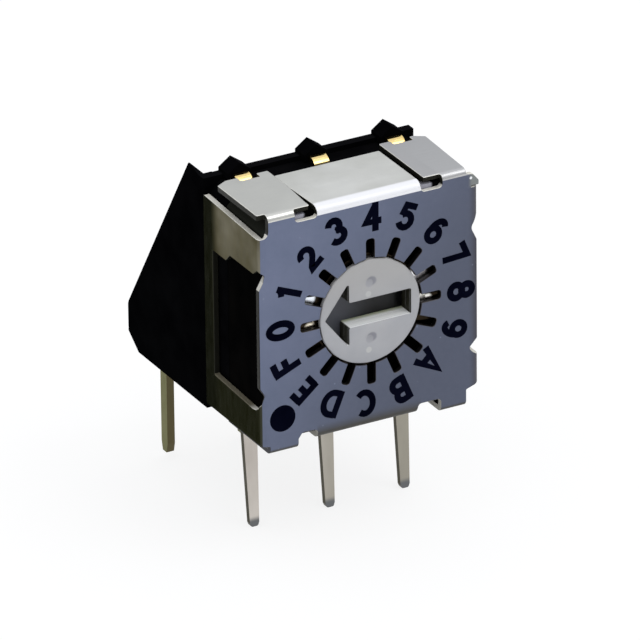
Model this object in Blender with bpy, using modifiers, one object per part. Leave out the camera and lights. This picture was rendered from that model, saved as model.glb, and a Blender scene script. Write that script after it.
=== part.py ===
"""Rotary dip switch with a side-facing dial, on its right-angle bracket.

The pieces are drawn in millimetres under one empty, which scales the model to metres.
Z = 0 is the surface of the circuit board, X = 0 the middle of the dial, and Y = 0 lies
midway between the two rows of pins. The dial faces -Y, and depths are counted from it.
"""

from math import asin, atan2, ceil, cos, pi, radians, sin, sqrt, tan

import bmesh
import bpy
from mathutils import Matrix, Vector

MILLIMETRE = 0.001
WELD = 0.0001
GRID = 1 / 8192

# The board layout
pin_pitch = 2.54
row_pitch = 5.08
front_pin_reach = 3.77
rear_pin_reach = 3.60
front_pin_lean = radians(4.0)

# The folded metal cover
sheet = 0.18
cover_width = 7.23
cover_bottom = 0.03
cover_height = 7.46
side_bend = 0.22
middle_bend = 0.27
corner_bend = 0.20
top_corner_rise = 0.07
bottom_corner_drop = 0.03
top_tab_edges = (-3.60, 3.22)
bottom_tab_edges = (-3.35, 3.15)
corner_tab_chamfer = (0.35, 0.20)
middle_tab_before_leads = 0.43
slit_left = 0.06
slit_right = 0.14
corner_notch_depth = 0.25
lead_gap = 0.06
wall_feet = (0.14, 0.40)
wall_drops = (0.70, 0.55)
lower_side_tab = 1.10
upper_side_tabs = (1.19, 0.92)
ear_slit = 0.04
ear_chamfer = 0.22
wall_strip = 0.55
wall_behind_leads = 0.55
window_step = 0.25
window_step_depth = 1.90
free_edge_flares = (0.07, 0.0)
free_edge_feet = (0.55, 0.45)
free_edge_drops = (0.25, 0.80)
relief_depth = 0.32
top_reliefs = ((-2.47, -1.79), (1.70, 2.40))
bottom_reliefs = ((-2.47, -1.80), (1.55, 2.31))

# The dial opening and its detent slots
positions = 16
dial_drop = 0.02
hole_radius = 1.70
slot_width = 0.28
slot_reach = 2.33
slot_corner = 0.06

# The rotor
knob_recess = 0.04
knob_chamfer = 0.06
knob_past_sheet = 0.02
neck_radius = 1.53
neck_length = 0.16
arrow_tip = 1.49
arrow_barb = 0.74
arrow_barb_half = 1.00
arrow_slot_end = 1.36
arrow_slot_half = 0.40
arrow_depth = 0.56
dimple_radius = 0.19
dimple_offset = 0.90
dimple_depth = 0.07
seal_depth = 0.92
seal_land = 1.24
flange_radius = 2.50
flange_front = 1.24
flange = 0.86
journal_radius = 0.38
journal_stop = 0.17
key_width = 0.30
key_height = 0.13

# The detent spring
leaf = 0.08
leaf_behind_sheet = 0.06
leaf_room = 0.10
leaf_ring = 0.24
leaf_arm_half = 0.78
leaf_tip_half = 0.88
leaf_past_slot = 0.09
nub_before_slot_end = 0.04
nub_length = 0.42
nub_side_gap = 0.03
nub_in_slot = 0.06
nub_round = 0.09

# The code disc and its tracks, from the outer one inwards; the common track lies inside them
disc = 0.10
disc_bore = 0.42
disc_inset = 0.04
disc_room = 0.20
outer_track_inset = 0.22
track_pitch = 0.38
track_width = 0.30
track_bits = (1, 2, 4, 8)

# The black mouldings inside the cover
housing_chamfer = 0.34
recess_gap = 0.10
leads_behind_housing = 0.53
base_side_wall = 0.45
base_end_wall = 0.98
pocket_corner = 0.35
peg_radius = 0.45
peg_length = 0.25
peg_offset = 2.20

# The terminals
lead = 0.18
lead_width = 0.50
lead_bend = 0.20
lead_over_plate = 0.20
front_pin_end = 0.31
front_tip_length = 0.12
front_tip_width = 0.22
rear_tip_length = 0.30
rear_tip_width = 0.24
tip_round = 0.06
finger = 0.10
finger_width = 0.24
finger_anchor = 0.30
finger_root = 2.15
finger_root_bend = 0.25
finger_tip_bend = 0.12
finger_curl = 0.24
finger_heights = {"upper_left": 2.05, "upper_right": 1.55, "lower_left": -1.10, "lower_right": -0.60}

# The bracket and its pins
bracket_inset_left = 0.02
bracket_inset_right = 0.22
plate = 0.30
plate_below_cover = 0.07
gusset = 0.45
floor_height = 0.55
heel_before_pins = 0.23
toe_behind_pins = 0.40
toe_low = 0.47
toe_high = 1.40
toe_radius = 0.35
apex_behind_plate = 0.60
apex_above_cover = 0.11
apex_radius = 0.10
right_gusset_drop = 0.90
hump_half = 0.39
hump_front_reach = 0.28
hump_back_reach = 0.02
hump_eave_rise = 0.03
hump_ridge_rise = 0.31
pin = 0.25
pin_width = 0.38
pin_knee_behind_plate = 0.20
pin_knee_radius = 0.20
pin_heel_height = 1.45

# The clearances, and how far a cutter or a joined end runs past what it meets
fit = 0.02
running = 0.04
seat = 0.03
flange_gap = 0.06
knob_gap = 0.045
past = 0.20

# Heights that follow
half_width = cover_width / 2
cover_top = cover_bottom + cover_height
dial_z = cover_bottom + cover_height / 2 - dial_drop
inside_low = cover_bottom + sheet + seat
inside_high = cover_top - sheet - seat
lead_top = cover_top
plate_top = cover_top - plate_below_cover
apex_height = cover_top + apex_above_cover
right_gusset_top = apex_height - right_gusset_drop
hump_eave = lead_top + hump_eave_rise
hump_ridge = lead_top + hump_ridge_rise

# Radii and widths that follow
step_angle = 2 * pi / positions
flat_half = half_width - side_bend - seat
side_inside = half_width - sheet - seat
knob_radius = hole_radius - knob_gap
shank_radius = knob_radius - fit / 2
bore_radius = shank_radius + running
seal_centre = (seal_land + bore_radius) / 2
seal_section = bore_radius - seal_land - 2 * fit
cavity_radius = flange_radius + flange_gap
leaf_arm_reach = slot_reach + leaf_past_slot
recess_radius = sqrt(leaf_arm_reach**2 + leaf_tip_half**2) + recess_gap
nub_end = slot_reach - nub_before_slot_end
nub_width = slot_width - 2 * nub_side_gap
disc_rim = flange_radius - disc_inset
outer_track = disc_rim - outer_track_inset
code_tracks = [(outer_track - track_pitch * number, bit) for number, bit in enumerate(track_bits)]
common_track = outer_track - track_pitch * len(track_bits)
pocket_half_width = side_inside - base_side_wall
pocket_half_height = (inside_high - inside_low) / 2 - base_end_wall
bracket_left = bracket_inset_left - half_width
bracket_right = half_width - bracket_inset_right
columns = {"left": -pin_pitch, "centre": 0.0, "right": pin_pitch}

# Depths behind the dial's face that follow
knob_rim = sheet + knob_past_sheet
leaf_depth = sheet + leaf_behind_sheet
recess_floor = leaf_depth + leaf + leaf_room
cavity_front = flange_front - running
flange_back = flange_front + flange
disc_front = flange_back + fit
disc_back = disc_front + disc
housing_back = disc_back + disc_room
base_front = housing_back + seat
lead_plane = housing_back + leads_behind_housing
lead_front = lead_plane - lead / 2
pocket_floor = lead_plane + lead / 2 + fit
wall_depth = lead_plane + wall_behind_leads
middle_tab_depth = lead_plane - middle_tab_before_leads
corner_tab_depth = lead_front - lead_gap
plate_front = wall_depth
plate_back = plate_front + plate
base_back = plate_front - seat
journal_end = base_back - journal_stop
lead_end = plate_front + lead_over_plate
hump_front = plate_front - hump_front_reach
hump_back = plate_back + hump_back_reach
rear_depth = lead_plane + row_pitch
heel_depth = rear_depth - heel_before_pins
toe_depth = rear_depth + toe_behind_pins
apex_depth = plate_back + apex_behind_plate
pin_knee_depth = plate_back + pin_knee_behind_plate
dial_y = -row_pitch / 2 - lead_plane


def clear_scene():
    for old in list(bpy.data.objects):
        bpy.data.objects.remove(old, do_unlink=True)


def new_collection(name, hidden=False):
    made = bpy.data.collections.new(name)
    made.hide_render = hidden
    bpy.context.scene.collection.children.link(made)
    return made


clear_scene()
switch = new_collection("rotary_dip_switch")
cutters = new_collection("cutters", hidden=True)

root = bpy.data.objects.new("switch_in_millimetres", None)
root.scale = (MILLIMETRE, MILLIMETRE, MILLIMETRE)
switch.objects.link(root)

# Local Z of the dial frame points out of the dial, so a depth is a negative height there.
dial = bpy.data.objects.new("dial_axis", None)
dial.parent = root
dial.location = (0, dial_y, dial_z)
dial.rotation_euler = (pi / 2, 0, 0)
switch.objects.link(dial)


def finish(name, colour, roughness, metallic=0.0):
    made = bpy.data.materials.new(name)
    made.use_nodes = True
    shader = made.node_tree.nodes["Principled BSDF"]
    shader.inputs["Base Color"].default_value = (*colour, 1)
    shader.inputs["Roughness"].default_value = roughness
    shader.inputs["Metallic"].default_value = metallic
    made.diffuse_color = (*colour, 1)
    return made


cover_steel = finish("cover_steel", (0.45, 0.46, 0.52), 0.40, 0.8)
black_moulding = finish("black_moulding", (0.012, 0.012, 0.014), 0.45)
base_moulding = finish("base_moulding", (0.020, 0.020, 0.022), 0.50)
white_moulding = finish("white_moulding", (0.62, 0.61, 0.58), 0.45)
seal_rubber = finish("seal_rubber", (0.010, 0.010, 0.010), 0.75)
spring_steel = finish("spring_steel", (0.60, 0.58, 0.52), 0.25, 1.0)
gold_plate = finish("gold_plate", (0.90, 0.65, 0.25), 0.25, 1.0)
tinned_bronze = finish("tinned_bronze", (0.66, 0.62, 0.55), 0.35, 1.0)


def place(name, mesh, material, parent=root):
    """A named sub-part of the switch."""
    made = bpy.data.objects.new(name, mesh)
    made.parent = parent
    mesh.materials.clear()
    mesh.materials.append(material)
    switch.objects.link(made)
    return made


def helper(name, mesh, parent=root):
    """A solid that only cuts or joins others."""
    made = bpy.data.objects.new(name, mesh)
    made.parent = parent
    made.hide_render = True
    made.display_type = "WIRE"
    cutters.objects.link(made)
    return made


def combine(target, other, operation):
    modifier = target.modifiers.new(f"{operation.lower()} {other.name}", "BOOLEAN")
    modifier.operation = operation
    modifier.solver = "EXACT"
    modifier.object = other


def cut(target, *others):
    for other in others:
        combine(target, other, "DIFFERENCE")


def join(target, *others):
    for other in others:
        combine(target, other, "UNION")


def sign(value):
    return -1 if value < 0 else 1


def turned_vector(vector, angle):
    return Vector((vector.x * cos(angle) - vector.y * sin(angle), vector.x * sin(angle) + vector.y * cos(angle)))


def corner_arc(before, here, after, radius, steps):
    """The points that round one corner of an outline."""
    towards = (before - here).normalized()
    away = (after - here).normalized()
    half = towards.angle(away) / 2
    reach = radius / tan(half)
    centre = here + (towards + away).normalized() * radius / sin(half)
    start = here + towards * reach - centre
    end = here + away * reach - centre
    sweep = atan2(start.x * end.y - start.y * end.x, start.dot(end))
    return [centre + turned_vector(start, sweep * step / steps) for step in range(steps + 1)]


def rounded(corners, steps=4, closed=True):
    """The line through (u, v) or (u, v, radius) corners, with an arc at each radius."""
    points = [Vector(corner[:2]) for corner in corners]
    count = len(corners)
    line = []
    for index, corner in enumerate(corners):
        inner = closed or 0 < index < count - 1
        radius = corner[2] if len(corner) > 2 else 0
        if inner and radius:
            line += corner_arc(points[index - 1], points[index], points[(index + 1) % count], radius, steps)
        else:
            line.append(points[index])
    return line


def strip(path, thickness, steps=6):
    """The outline of a bent strip of even thickness along an open path."""
    line = rounded(path, steps, closed=False)
    sides = ([], [])
    for index, here in enumerate(line):
        behind = here - line[index - 1] if index else line[1] - here
        ahead = line[index + 1] - here if index < len(line) - 1 else behind
        along = (behind.normalized() + ahead.normalized()).normalized()
        normal = Vector((-along.y, along.x))
        mitre = thickness / 2 / along.dot(ahead.normalized())
        sides[0].append(here + normal * mitre)
        sides[1].append(here - normal * mitre)
    return sides[0] + sides[1][::-1]


def arc(radius, start, end, most=radians(7.5)):
    """Points on a circle about the origin from one angle to another."""
    steps = max(1, ceil(abs(end - start) / most - 1e-6))
    angles = [start + (end - start) * step / steps for step in range(steps + 1)]
    return [Vector((radius * cos(angle), radius * sin(angle))) for angle in angles]


def circle(radius, centre=(0, 0), steps=48):
    return [point + Vector(centre) for point in arc(radius, 0, 2 * pi, 2 * pi / steps)[:-1]]


def box_outline(low_u, high_u, low_v, high_v):
    return [(low_u, low_v), (high_u, low_v), (high_u, high_v), (low_u, high_v)]


# Each axis of extrusion with the two axes that its outlines are drawn on.
OUTLINE_AXES = {
    "X": ((0, 1, 0), (0, 0, 1), (1, 0, 0)),
    "Y": ((1, 0, 0), (0, 0, 1), (0, -1, 0)),
    "Z": ((1, 0, 0), (0, 1, 0), (0, 0, 1)),
}


def extruded(axis, start, end, *outlines):
    """A closed mesh from flat outlines, drawn across the axis and extruded from start to end."""
    curve = bpy.data.curves.new("outline", "CURVE")
    curve.dimensions = "2D"
    curve.fill_mode = "BOTH"
    curve.extrude = abs(end - start) / 2
    for outline in outlines:
        spline = curve.splines.new("POLY")
        spline.points.add(len(outline) - 1)
        for point, corner in zip(spline.points, outline):
            point.co = (corner[0], corner[1], 0, 1)
        spline.use_cyclic_u = True
    drawn = bpy.data.objects.new("outline", curve)
    cutters.objects.link(drawn)
    graph = bpy.context.evaluated_depsgraph_get()
    mesh = bpy.data.meshes.new_from_object(drawn.evaluated_get(graph))
    bpy.data.objects.remove(drawn)
    shape = bmesh.new()
    shape.from_mesh(mesh)
    bmesh.ops.remove_doubles(shape, verts=shape.verts, dist=WELD)
    across, up, along = (Vector(direction) for direction in OUTLINE_AXES[axis])
    turn = Matrix((across, up, along)).transposed().to_4x4()
    middle = Vector([abs(part) for part in along]) * (start + end) / 2
    bmesh.ops.transform(shape, matrix=Matrix.Translation(middle) @ turn, verts=shape.verts)
    bmesh.ops.recalc_face_normals(shape, faces=shape.faces)
    return stored(shape, mesh)


def stored(shape, mesh):
    """The shape with its points on a fine grid, so that planes meant to be one are exactly one."""
    for vert in shape.verts:
        vert.co = [round(part / GRID) * GRID for part in vert.co]
    shape.to_mesh(mesh)
    shape.free()
    return mesh


def box(low, high):
    """A block between two corners."""
    shape = bmesh.new()
    bmesh.ops.create_cube(shape, size=1)
    low, high = Vector(low), Vector(high)
    size = high - low
    bmesh.ops.scale(shape, vec=size, verts=shape.verts)
    bmesh.ops.translate(shape, vec=(low + high) / 2, verts=shape.verts)
    return stored(shape, bpy.data.meshes.new("box"))


def turn_profile(thing, steps=64):
    screw = thing.modifiers.new("turn", "SCREW")
    screw.steps = steps
    screw.render_steps = steps
    screw.use_merge_vertices = True
    screw.merge_threshold = WELD
    screw.use_smooth_shade = True


def profile(points):
    """A mesh of one line of (radius, depth) points, which runs from the dial inwards."""
    mesh = bpy.data.meshes.new("profile")
    corners = [(radius, 0, -depth) for radius, depth in points]
    mesh.from_pydata(corners, [(i, i + 1) for i in range(len(corners) - 1)], [])
    return mesh


def depth_y(depth):
    """The Y of a depth behind the dial's face."""
    return dial_y + depth


def folded_tab(name, start, end, top, depth, bend, up=1):
    """A tab folded back from the upper edge of the face, or from the lower edge with up = -1."""
    middle = top - up * sheet / 2
    path = [
        (depth_y(sheet / 2), middle - up * 2 * bend),
        (depth_y(sheet / 2), middle, bend - sheet / 2),
        (depth_y(depth), middle),
    ]
    return helper(name, extruded("X", start, end, strip(path, sheet)))


def side_wall(name, side, wall_low, wall_high, window_high):
    """One side wall: two tabs of the face, joined behind their window by an upright strip."""
    window_low = wall_low + lower_side_tab
    middle = side * (half_width - sheet / 2)
    path = [
        (middle - side * 2 * side_bend, depth_y(sheet / 2)),
        (middle, depth_y(sheet / 2), side_bend - sheet / 2),
        (middle, depth_y(wall_depth)),
    ]
    wall = helper(name, extruded("Z", wall_low, wall_high, strip(path, sheet)))
    front = depth_y(-past)
    step = depth_y(window_step_depth)
    back = depth_y(wall_depth - wall_strip)
    window = [
        (front, window_low),
        (back, window_low),
        (back, window_high - window_step),
        (step + window_step, window_high - window_step),
        (step, window_high),
        (front, window_high),
    ]
    reach = sorted((side * flat_half, side * (half_width + past)))
    cut(wall, helper(name + "_window", extruded("X", *reach, window)))
    return wall


def free_edge(name, side, flare, low, high):
    """The flat edge of the face between the two tabs of one side wall."""
    reach = sorted((side * (flat_half - side_bend), side * (half_width + flare)))
    return helper(name, box((reach[0], dial_y, low), (reach[1], dial_y + sheet, high)))


def tab_chamfer(edge, low, high):
    """The wedge that takes the rear outer corner off the corner tab that ends at this edge."""
    across, along = corner_tab_chamfer
    inner = edge - sign(edge) * across
    outer = edge + sign(edge) * past
    corner = [
        (inner, depth_y(corner_tab_depth)),
        (edge, depth_y(corner_tab_depth - along)),
        (outer, depth_y(corner_tab_depth - along)),
        (outer, depth_y(corner_tab_depth + past)),
        (inner, depth_y(corner_tab_depth + past)),
    ]
    return extruded("Z", low, high, corner)


def dial_opening():
    """The round opening and its ring of open slots, one at each position."""
    mouth = asin(slot_width / 2 / hole_radius)
    outline = []
    for position in range(positions):
        angle = position * step_angle
        slot = [
            (hole_radius * cos(mouth), -slot_width / 2),
            (slot_reach, -slot_width / 2, slot_corner),
            (slot_reach, slot_width / 2, slot_corner),
            (hole_radius * cos(mouth), slot_width / 2),
        ]
        outline += [turned_vector(point, angle) for point in rounded(slot, 2, closed=False)]
        land = arc(hole_radius, angle + mouth, angle + step_angle - mouth)
        outline += land[1:-1]
    return helper("dial_opening", extruded("Z", -sheet - past, past, outline), dial)


def corner_ear():
    """The flat ear at the face's upper right corner, over a slit that frees it from the side tab."""
    inner = flat_half - side_bend
    ear_low = cover_top - wall_drops[1] + ear_slit
    ear_high = cover_top + top_corner_rise - corner_bend - seat
    outline = [
        (inner, ear_low),
        (half_width, ear_low),
        (half_width, ear_high - ear_chamfer),
        (half_width - ear_chamfer, ear_high),
        (inner, ear_high),
    ]
    return helper("corner_ear", extruded("Y", dial_y, dial_y + sheet, outline))


def make_cover():
    """The folded cover, which is one sheet: the face, four corner tabs, two middle tabs and two walls."""
    low = cover_bottom + middle_bend + seat
    high = cover_top - middle_bend - seat
    face = extruded("Y", dial_y, dial_y + sheet, box_outline(-flat_half, flat_half, low, high))
    cover = place("metal_cover", face, cover_steel)
    for number, (side, word) in enumerate(((-1, "left"), (1, "right"))):
        wall_low = cover_bottom + wall_feet[number]
        wall_high = cover_top - wall_drops[number]
        window_high = wall_high - upper_side_tabs[number]
        join(cover, side_wall(f"{word}_wall", side, wall_low, wall_high, window_high))
        edge_low = wall_low + lower_side_tab + free_edge_feet[number]
        edge_high = window_high - free_edge_drops[number]
        join(cover, free_edge(f"{word}_free_edge", side, free_edge_flares[number], edge_low, edge_high))
    join(cover, corner_ear())
    edges = {
        "top": (cover_top, cover_top + top_corner_rise, 1, top_tab_edges, top_reliefs),
        "bottom": (cover_bottom, cover_bottom - bottom_corner_drop, -1, bottom_tab_edges, bottom_reliefs),
    }
    for word, (edge, outer, up, tab_edges, reliefs) in edges.items():
        slits = (reliefs[0][1], reliefs[1][0])
        middle = (*slits, edge, middle_tab_depth, middle_bend, up)
        left = (tab_edges[0], slits[0] - slit_left, outer, corner_tab_depth, corner_bend, up)
        right = (slits[1] + slit_right, tab_edges[1], outer, corner_tab_depth, corner_bend, up)
        join(cover, folded_tab(f"{word}_middle_tab", *middle))
        join(cover, folded_tab(f"{word}_left_tab", *left))
        join(cover, folded_tab(f"{word}_right_tab", *right))
        for number, (start, end) in enumerate(reliefs):
            span = sorted((edge - up * relief_depth, outer + up * past))
            low_corner = (start, depth_y(-past), span[0])
            high_corner = (end, depth_y(2 * sheet), span[1])
            cut(cover, helper(f"{word}_relief_{number}", box(low_corner, high_corner)))
        for side, tab_edge in zip(("left", "right"), tab_edges):
            wedge = tab_chamfer(tab_edge, edge - 2 * past, edge + 2 * past)
            cut(cover, helper(f"{word}_chamfer_{side}", wedge))
    low_corner = (-half_width - past, depth_y(-past), cover_top - wall_drops[0] + seat)
    high_corner = (seat - flat_half, depth_y(corner_notch_depth), cover_top + past)
    cut(cover, helper("corner_notch", box(low_corner, high_corner)))
    cut(cover, dial_opening())


def make_housing():
    """The black body inside the cover: a bore for the rotor, a recess before it and a cavity behind."""
    corner = housing_chamfer
    outline = [
        (-side_inside, inside_low, corner),
        (side_inside, inside_low, corner),
        (side_inside, inside_high, corner),
        (-side_inside, inside_high, corner),
    ]
    body = extruded("Y", depth_y(sheet + seat), depth_y(housing_back), rounded(outline, 1))
    housing = place("housing", body, black_moulding)
    bores = helper(
        "housing_bores",
        profile([
            (0, 0),
            (recess_radius, 0),
            (recess_radius, recess_floor),
            (bore_radius, recess_floor),
            (bore_radius, cavity_front),
            (cavity_radius, cavity_front),
            (cavity_radius, housing_back + past),
            (0, housing_back + past),
        ]),
        dial,
    )
    turn_profile(bores)
    cut(housing, bores)


def arrow_outline():
    """The arrow-shaped slot of the knob, which points along -X in position 0."""
    return [
        (-arrow_tip, 0),
        (-arrow_barb, -arrow_barb_half),
        (-arrow_barb, -arrow_slot_half),
        (arrow_slot_end, -arrow_slot_half),
        (arrow_slot_end, arrow_slot_half),
        (-arrow_barb, arrow_slot_half),
        (-arrow_barb, arrow_barb_half),
    ]


def contact_point(name):
    """Where a code terminal's finger touches the disc, seen from the dial's centre."""
    track = {"upper_left": 0, "upper_right": 1, "lower_left": 2, "lower_right": 3}[name]
    radius = code_tracks[track][0]
    height = finger_heights[name]
    side = -1 if name.endswith("left") else 1
    return side * sqrt(radius**2 - height**2), height


def open_runs(bit):
    """The runs of positions in which a code bit is off, as (first, last)."""
    return [(first, first + bit - 1) for first in range(0, positions, 2 * bit)]


def code_windows(margin):
    """The sectors of the code disc where a finger touches no metal."""
    windows = []
    for name, (radius, bit) in zip(finger_heights, code_tracks):
        across, up = contact_point(name)
        finger_angle = atan2(up, across)
        inner = radius - track_width / 2 + margin
        outer = radius + track_width / 2 - margin
        for first, last in open_runs(bit):
            start = finger_angle + (first - 0.5) * step_angle + margin / radius
            end = finger_angle + (last + 0.5) * step_angle - margin / radius
            windows.append(arc(outer, start, end) + arc(inner, end, start))
    return windows


def make_rotor():
    """The moulded rotor: the knob, the spring's neck, the seal's groove, the flange and the journal."""
    neck_end = knob_rim + neck_length
    groove = seal_section / 2 + fit
    body = place(
        "rotor",
        profile([
            (0, knob_recess),
            (knob_radius - knob_chamfer, knob_recess),
            (knob_radius, knob_recess + knob_chamfer),
            (knob_radius, knob_rim),
            (neck_radius, knob_rim),
            (neck_radius, neck_end),
            (shank_radius, neck_end),
            (shank_radius, seal_depth - groove),
            (seal_land, seal_depth - groove),
            (seal_land, seal_depth + groove),
            (shank_radius, seal_depth + groove),
            (shank_radius, flange_front),
            (flange_radius, flange_front),
            (flange_radius, flange_back),
            (journal_radius, flange_back),
            (journal_radius, journal_end),
            (0, journal_end),
        ]),
        white_moulding,
        dial,
    )
    turn_profile(body)
    pads = helper("code_pads", extruded("Z", -disc_back, -flange_back + disc, *code_windows(fit)), dial)
    join(body, pads)
    for side in (-1, 1):
        reach = sorted((side * (neck_radius - key_height), side * (neck_radius + key_height)))
        low_corner = (-key_width / 2, reach[0], -neck_end - running)
        high_corner = (key_width / 2, reach[1], -knob_rim + running)
        join(body, helper(f"rotor_key_{side}", box(low_corner, high_corner), dial))
        pit = circle(dimple_radius, (0, side * dimple_offset), 20)
        pit_floor = -knob_recess - dimple_depth
        cut(body, helper(f"dimple_{side}", extruded("Z", pit_floor, past, pit), dial))
    arrow = extruded("Z", -knob_recess - arrow_depth, past, arrow_outline())
    cut(body, helper("arrow_slot", arrow, dial))


def make_code_disc():
    """The stamped disc, whose windows are the code: a finger over a window is open."""
    outlines = [circle(disc_rim, steps=64), circle(disc_bore, steps=32), *code_windows(0)]
    place("code_disc", extruded("Z", -disc_back, -disc_front, *outlines), gold_plate, dial)


def make_detent_spring():
    """The leaf on the rotor's neck, with a ridge at each end that drops into the dial's slots."""
    inner = neck_radius + fit
    outer = inner + leaf_ring
    root_angle = asin(leaf_arm_half / outer)
    outline = arc(outer, root_angle, pi - root_angle)
    outline += [(-leaf_arm_reach, leaf_tip_half), (-leaf_arm_reach, -leaf_tip_half)]
    outline += arc(outer, pi + root_angle, 2 * pi - root_angle)
    outline += [(leaf_arm_reach, -leaf_tip_half), (leaf_arm_reach, leaf_tip_half)]
    leaf_back = leaf_depth + leaf
    nub_top = nub_in_slot - sheet
    flat = extruded("Z", -leaf_back, -leaf_depth, outline, circle(inner, steps=64))
    spring = place("detent_spring", flat, spring_steel, dial)
    for side in (-1, 1):
        reach = sorted((side * (neck_radius - key_height), side * (neck_radius + key_height + fit)))
        low_corner = (-key_width / 2 - fit, reach[0], -leaf_back - leaf)
        high_corner = (key_width / 2 + fit, reach[1], -leaf_depth + leaf)
        cut(spring, helper(f"spring_keyway_{side}", box(low_corner, high_corner), dial))
        ridge = [
            (-nub_width / 2, -leaf_back + leaf / 4),
            (nub_width / 2, -leaf_back + leaf / 4),
            (nub_width / 2, nub_top, nub_round),
            (-nub_width / 2, nub_top, nub_round),
        ]
        span = sorted((side * (nub_end - nub_length), side * nub_end))
        join(spring, helper(f"nub_{side}", extruded("X", *span, rounded(ridge, 4)), dial))


def make_seal():
    """The rubber ring between the rotor's groove and the housing's bore."""
    bpy.ops.mesh.primitive_torus_add(
        major_radius=seal_centre,
        minor_radius=seal_section / 2,
        major_segments=48,
        minor_segments=12,
    )
    ring = bpy.context.active_object
    mesh = ring.data
    bpy.data.objects.remove(ring)
    mesh.shade_smooth()
    seal = place("seal_ring", mesh, seal_rubber, dial)
    seal.location = (0, 0, -seal_depth)


def make_base():
    """The rear moulding, which holds the terminals, carries the journal and pegs into the bracket."""
    corner = housing_chamfer
    outline = [
        (-side_inside, inside_low, corner),
        (side_inside, inside_low, corner),
        (side_inside, inside_high, corner),
        (-side_inside, inside_high, corner),
    ]
    body = extruded("Y", depth_y(base_front), depth_y(base_back), rounded(outline, 1))
    base = place("contact_base", body, base_moulding)
    corners = [
        (-pocket_half_width, dial_z - pocket_half_height, pocket_corner),
        (pocket_half_width, dial_z - pocket_half_height, pocket_corner),
        (pocket_half_width, dial_z + pocket_half_height, pocket_corner),
        (-pocket_half_width, dial_z + pocket_half_height, pocket_corner),
    ]
    pocket = extruded("Y", depth_y(base_front - past), depth_y(pocket_floor), rounded(corners))
    cut(base, helper("pocket", pocket))
    bearing = circle(journal_radius + running / 2, steps=32)
    cut(base, helper("bearing", extruded("Z", -base_back - past, -base_front, bearing), dial))
    gap = lead_width / 2 + fit
    for column, across in columns.items():
        for up, edge in ((1, inside_high), (-1, inside_low)):
            span = sorted((dial_z + up * (pocket_half_height - past), edge + up * past))
            low_corner = (across - gap, depth_y(lead_front - fit), span[0])
            high_corner = (across + gap, depth_y(pocket_floor), span[1])
            cut(base, helper(f"lead_tunnel_{column}_{up}", box(low_corner, high_corner)))
    for side in (-1, 1):
        peg = circle(peg_radius, (side * peg_offset, 0), 24)
        span = (-base_back - peg_length, -base_back + past)
        join(base, helper(f"peg_{side}", extruded("Z", *span, peg), dial))


def finger_path(root_at, contact, towards):
    """A contact finger's centre line: flat at its root, rising to the disc, curled at its tip."""
    touch = disc_back + fit + finger / 2
    turn = sign(contact - root_at)
    return [
        (root_at - turn * finger_anchor, towards(lead_plane)),
        (root_at, towards(lead_plane), finger_root_bend),
        (contact, towards(touch), finger_tip_bend),
        (contact + turn * finger_curl, towards(touch + finger)),
    ]


def make_upper_terminal(name, across, bottom):
    """An upper terminal: up out of the base, then bent back over the bracket's plate."""
    path = [
        (depth_y(lead_plane), bottom),
        (depth_y(lead_plane), lead_top - lead / 2, lead_bend),
        (depth_y(lead_end), lead_top - lead / 2),
    ]
    span = (across - lead_width / 2, across + lead_width / 2)
    return place(name, extruded("X", *span, strip(path, lead)), gold_plate)


def make_lower_terminal(name, across, top):
    """A lower terminal, which is also a front pin: straight down, leaning and narrowing a little."""
    tip_depth = lead_plane - tan(front_pin_lean) * front_pin_reach
    path = [
        (depth_y(lead_plane), top),
        (depth_y(lead_plane), 0, front_pin_reach / 2),
        (depth_y(tip_depth), -front_pin_reach - lead),
    ]
    span = (across - lead_width, across + lead_width)
    terminal = place(name, extruded("X", *span, strip(path, lead, 3)), tinned_bronze)
    half = lead_width / 2
    end_half = front_pin_end / 2
    tip_half = front_tip_width / 2
    stamped = [
        (across - tip_half, -front_pin_reach, tip_round),
        (across + tip_half, -front_pin_reach, tip_round),
        (across + end_half, -front_pin_reach + front_tip_length),
        (across + half, 0),
        (across + half, top - seat),
        (across - half, top - seat),
        (across - half, 0),
        (across - end_half, -front_pin_reach + front_tip_length),
    ]
    reach = (depth_y(tip_depth - lead), depth_y(lead_plane + lead))
    blank = helper(name + "_blank", extruded("Y", *reach, rounded(stamped, 3)))
    combine(terminal, blank, "INTERSECT")
    return terminal


def make_terminals():
    """Six terminals: a code bit at each corner and the common track's pair in the middle."""
    for name in finger_heights:
        row, column = name.split("_")
        across = columns[column]
        contact, up = contact_point(name)
        height = dial_z + up
        half = finger_width / 2
        if row == "upper":
            terminal = make_upper_terminal(f"terminal_{name}", across, height - half - seat)
        else:
            terminal = make_lower_terminal(f"terminal_{name}", across, height + half + 2 * seat)
        path = finger_path(sign(across) * finger_root, contact, depth_y)
        made = extruded("Z", height - half, height + half, strip(path, finger, 4))
        join(terminal, helper(f"finger_{name}", made))
    for row, up in (("upper", 1), ("lower", -1)):
        leg_end = dial_z + up * (finger_root + seat)
        name = f"terminal_{row}_centre"
        if row == "upper":
            terminal = make_upper_terminal(name, 0, leg_end)
        else:
            terminal = make_lower_terminal(name, 0, leg_end)
        path = finger_path(dial_z + up * finger_root, dial_z + up * common_track, depth_y)
        flipped = [(corner[1], corner[0], *corner[2:]) for corner in path]
        made = extruded("X", -finger_width / 2, finger_width / 2, strip(flipped, finger, 4))
        join(terminal, helper(f"finger_{row}_centre", made))


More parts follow.
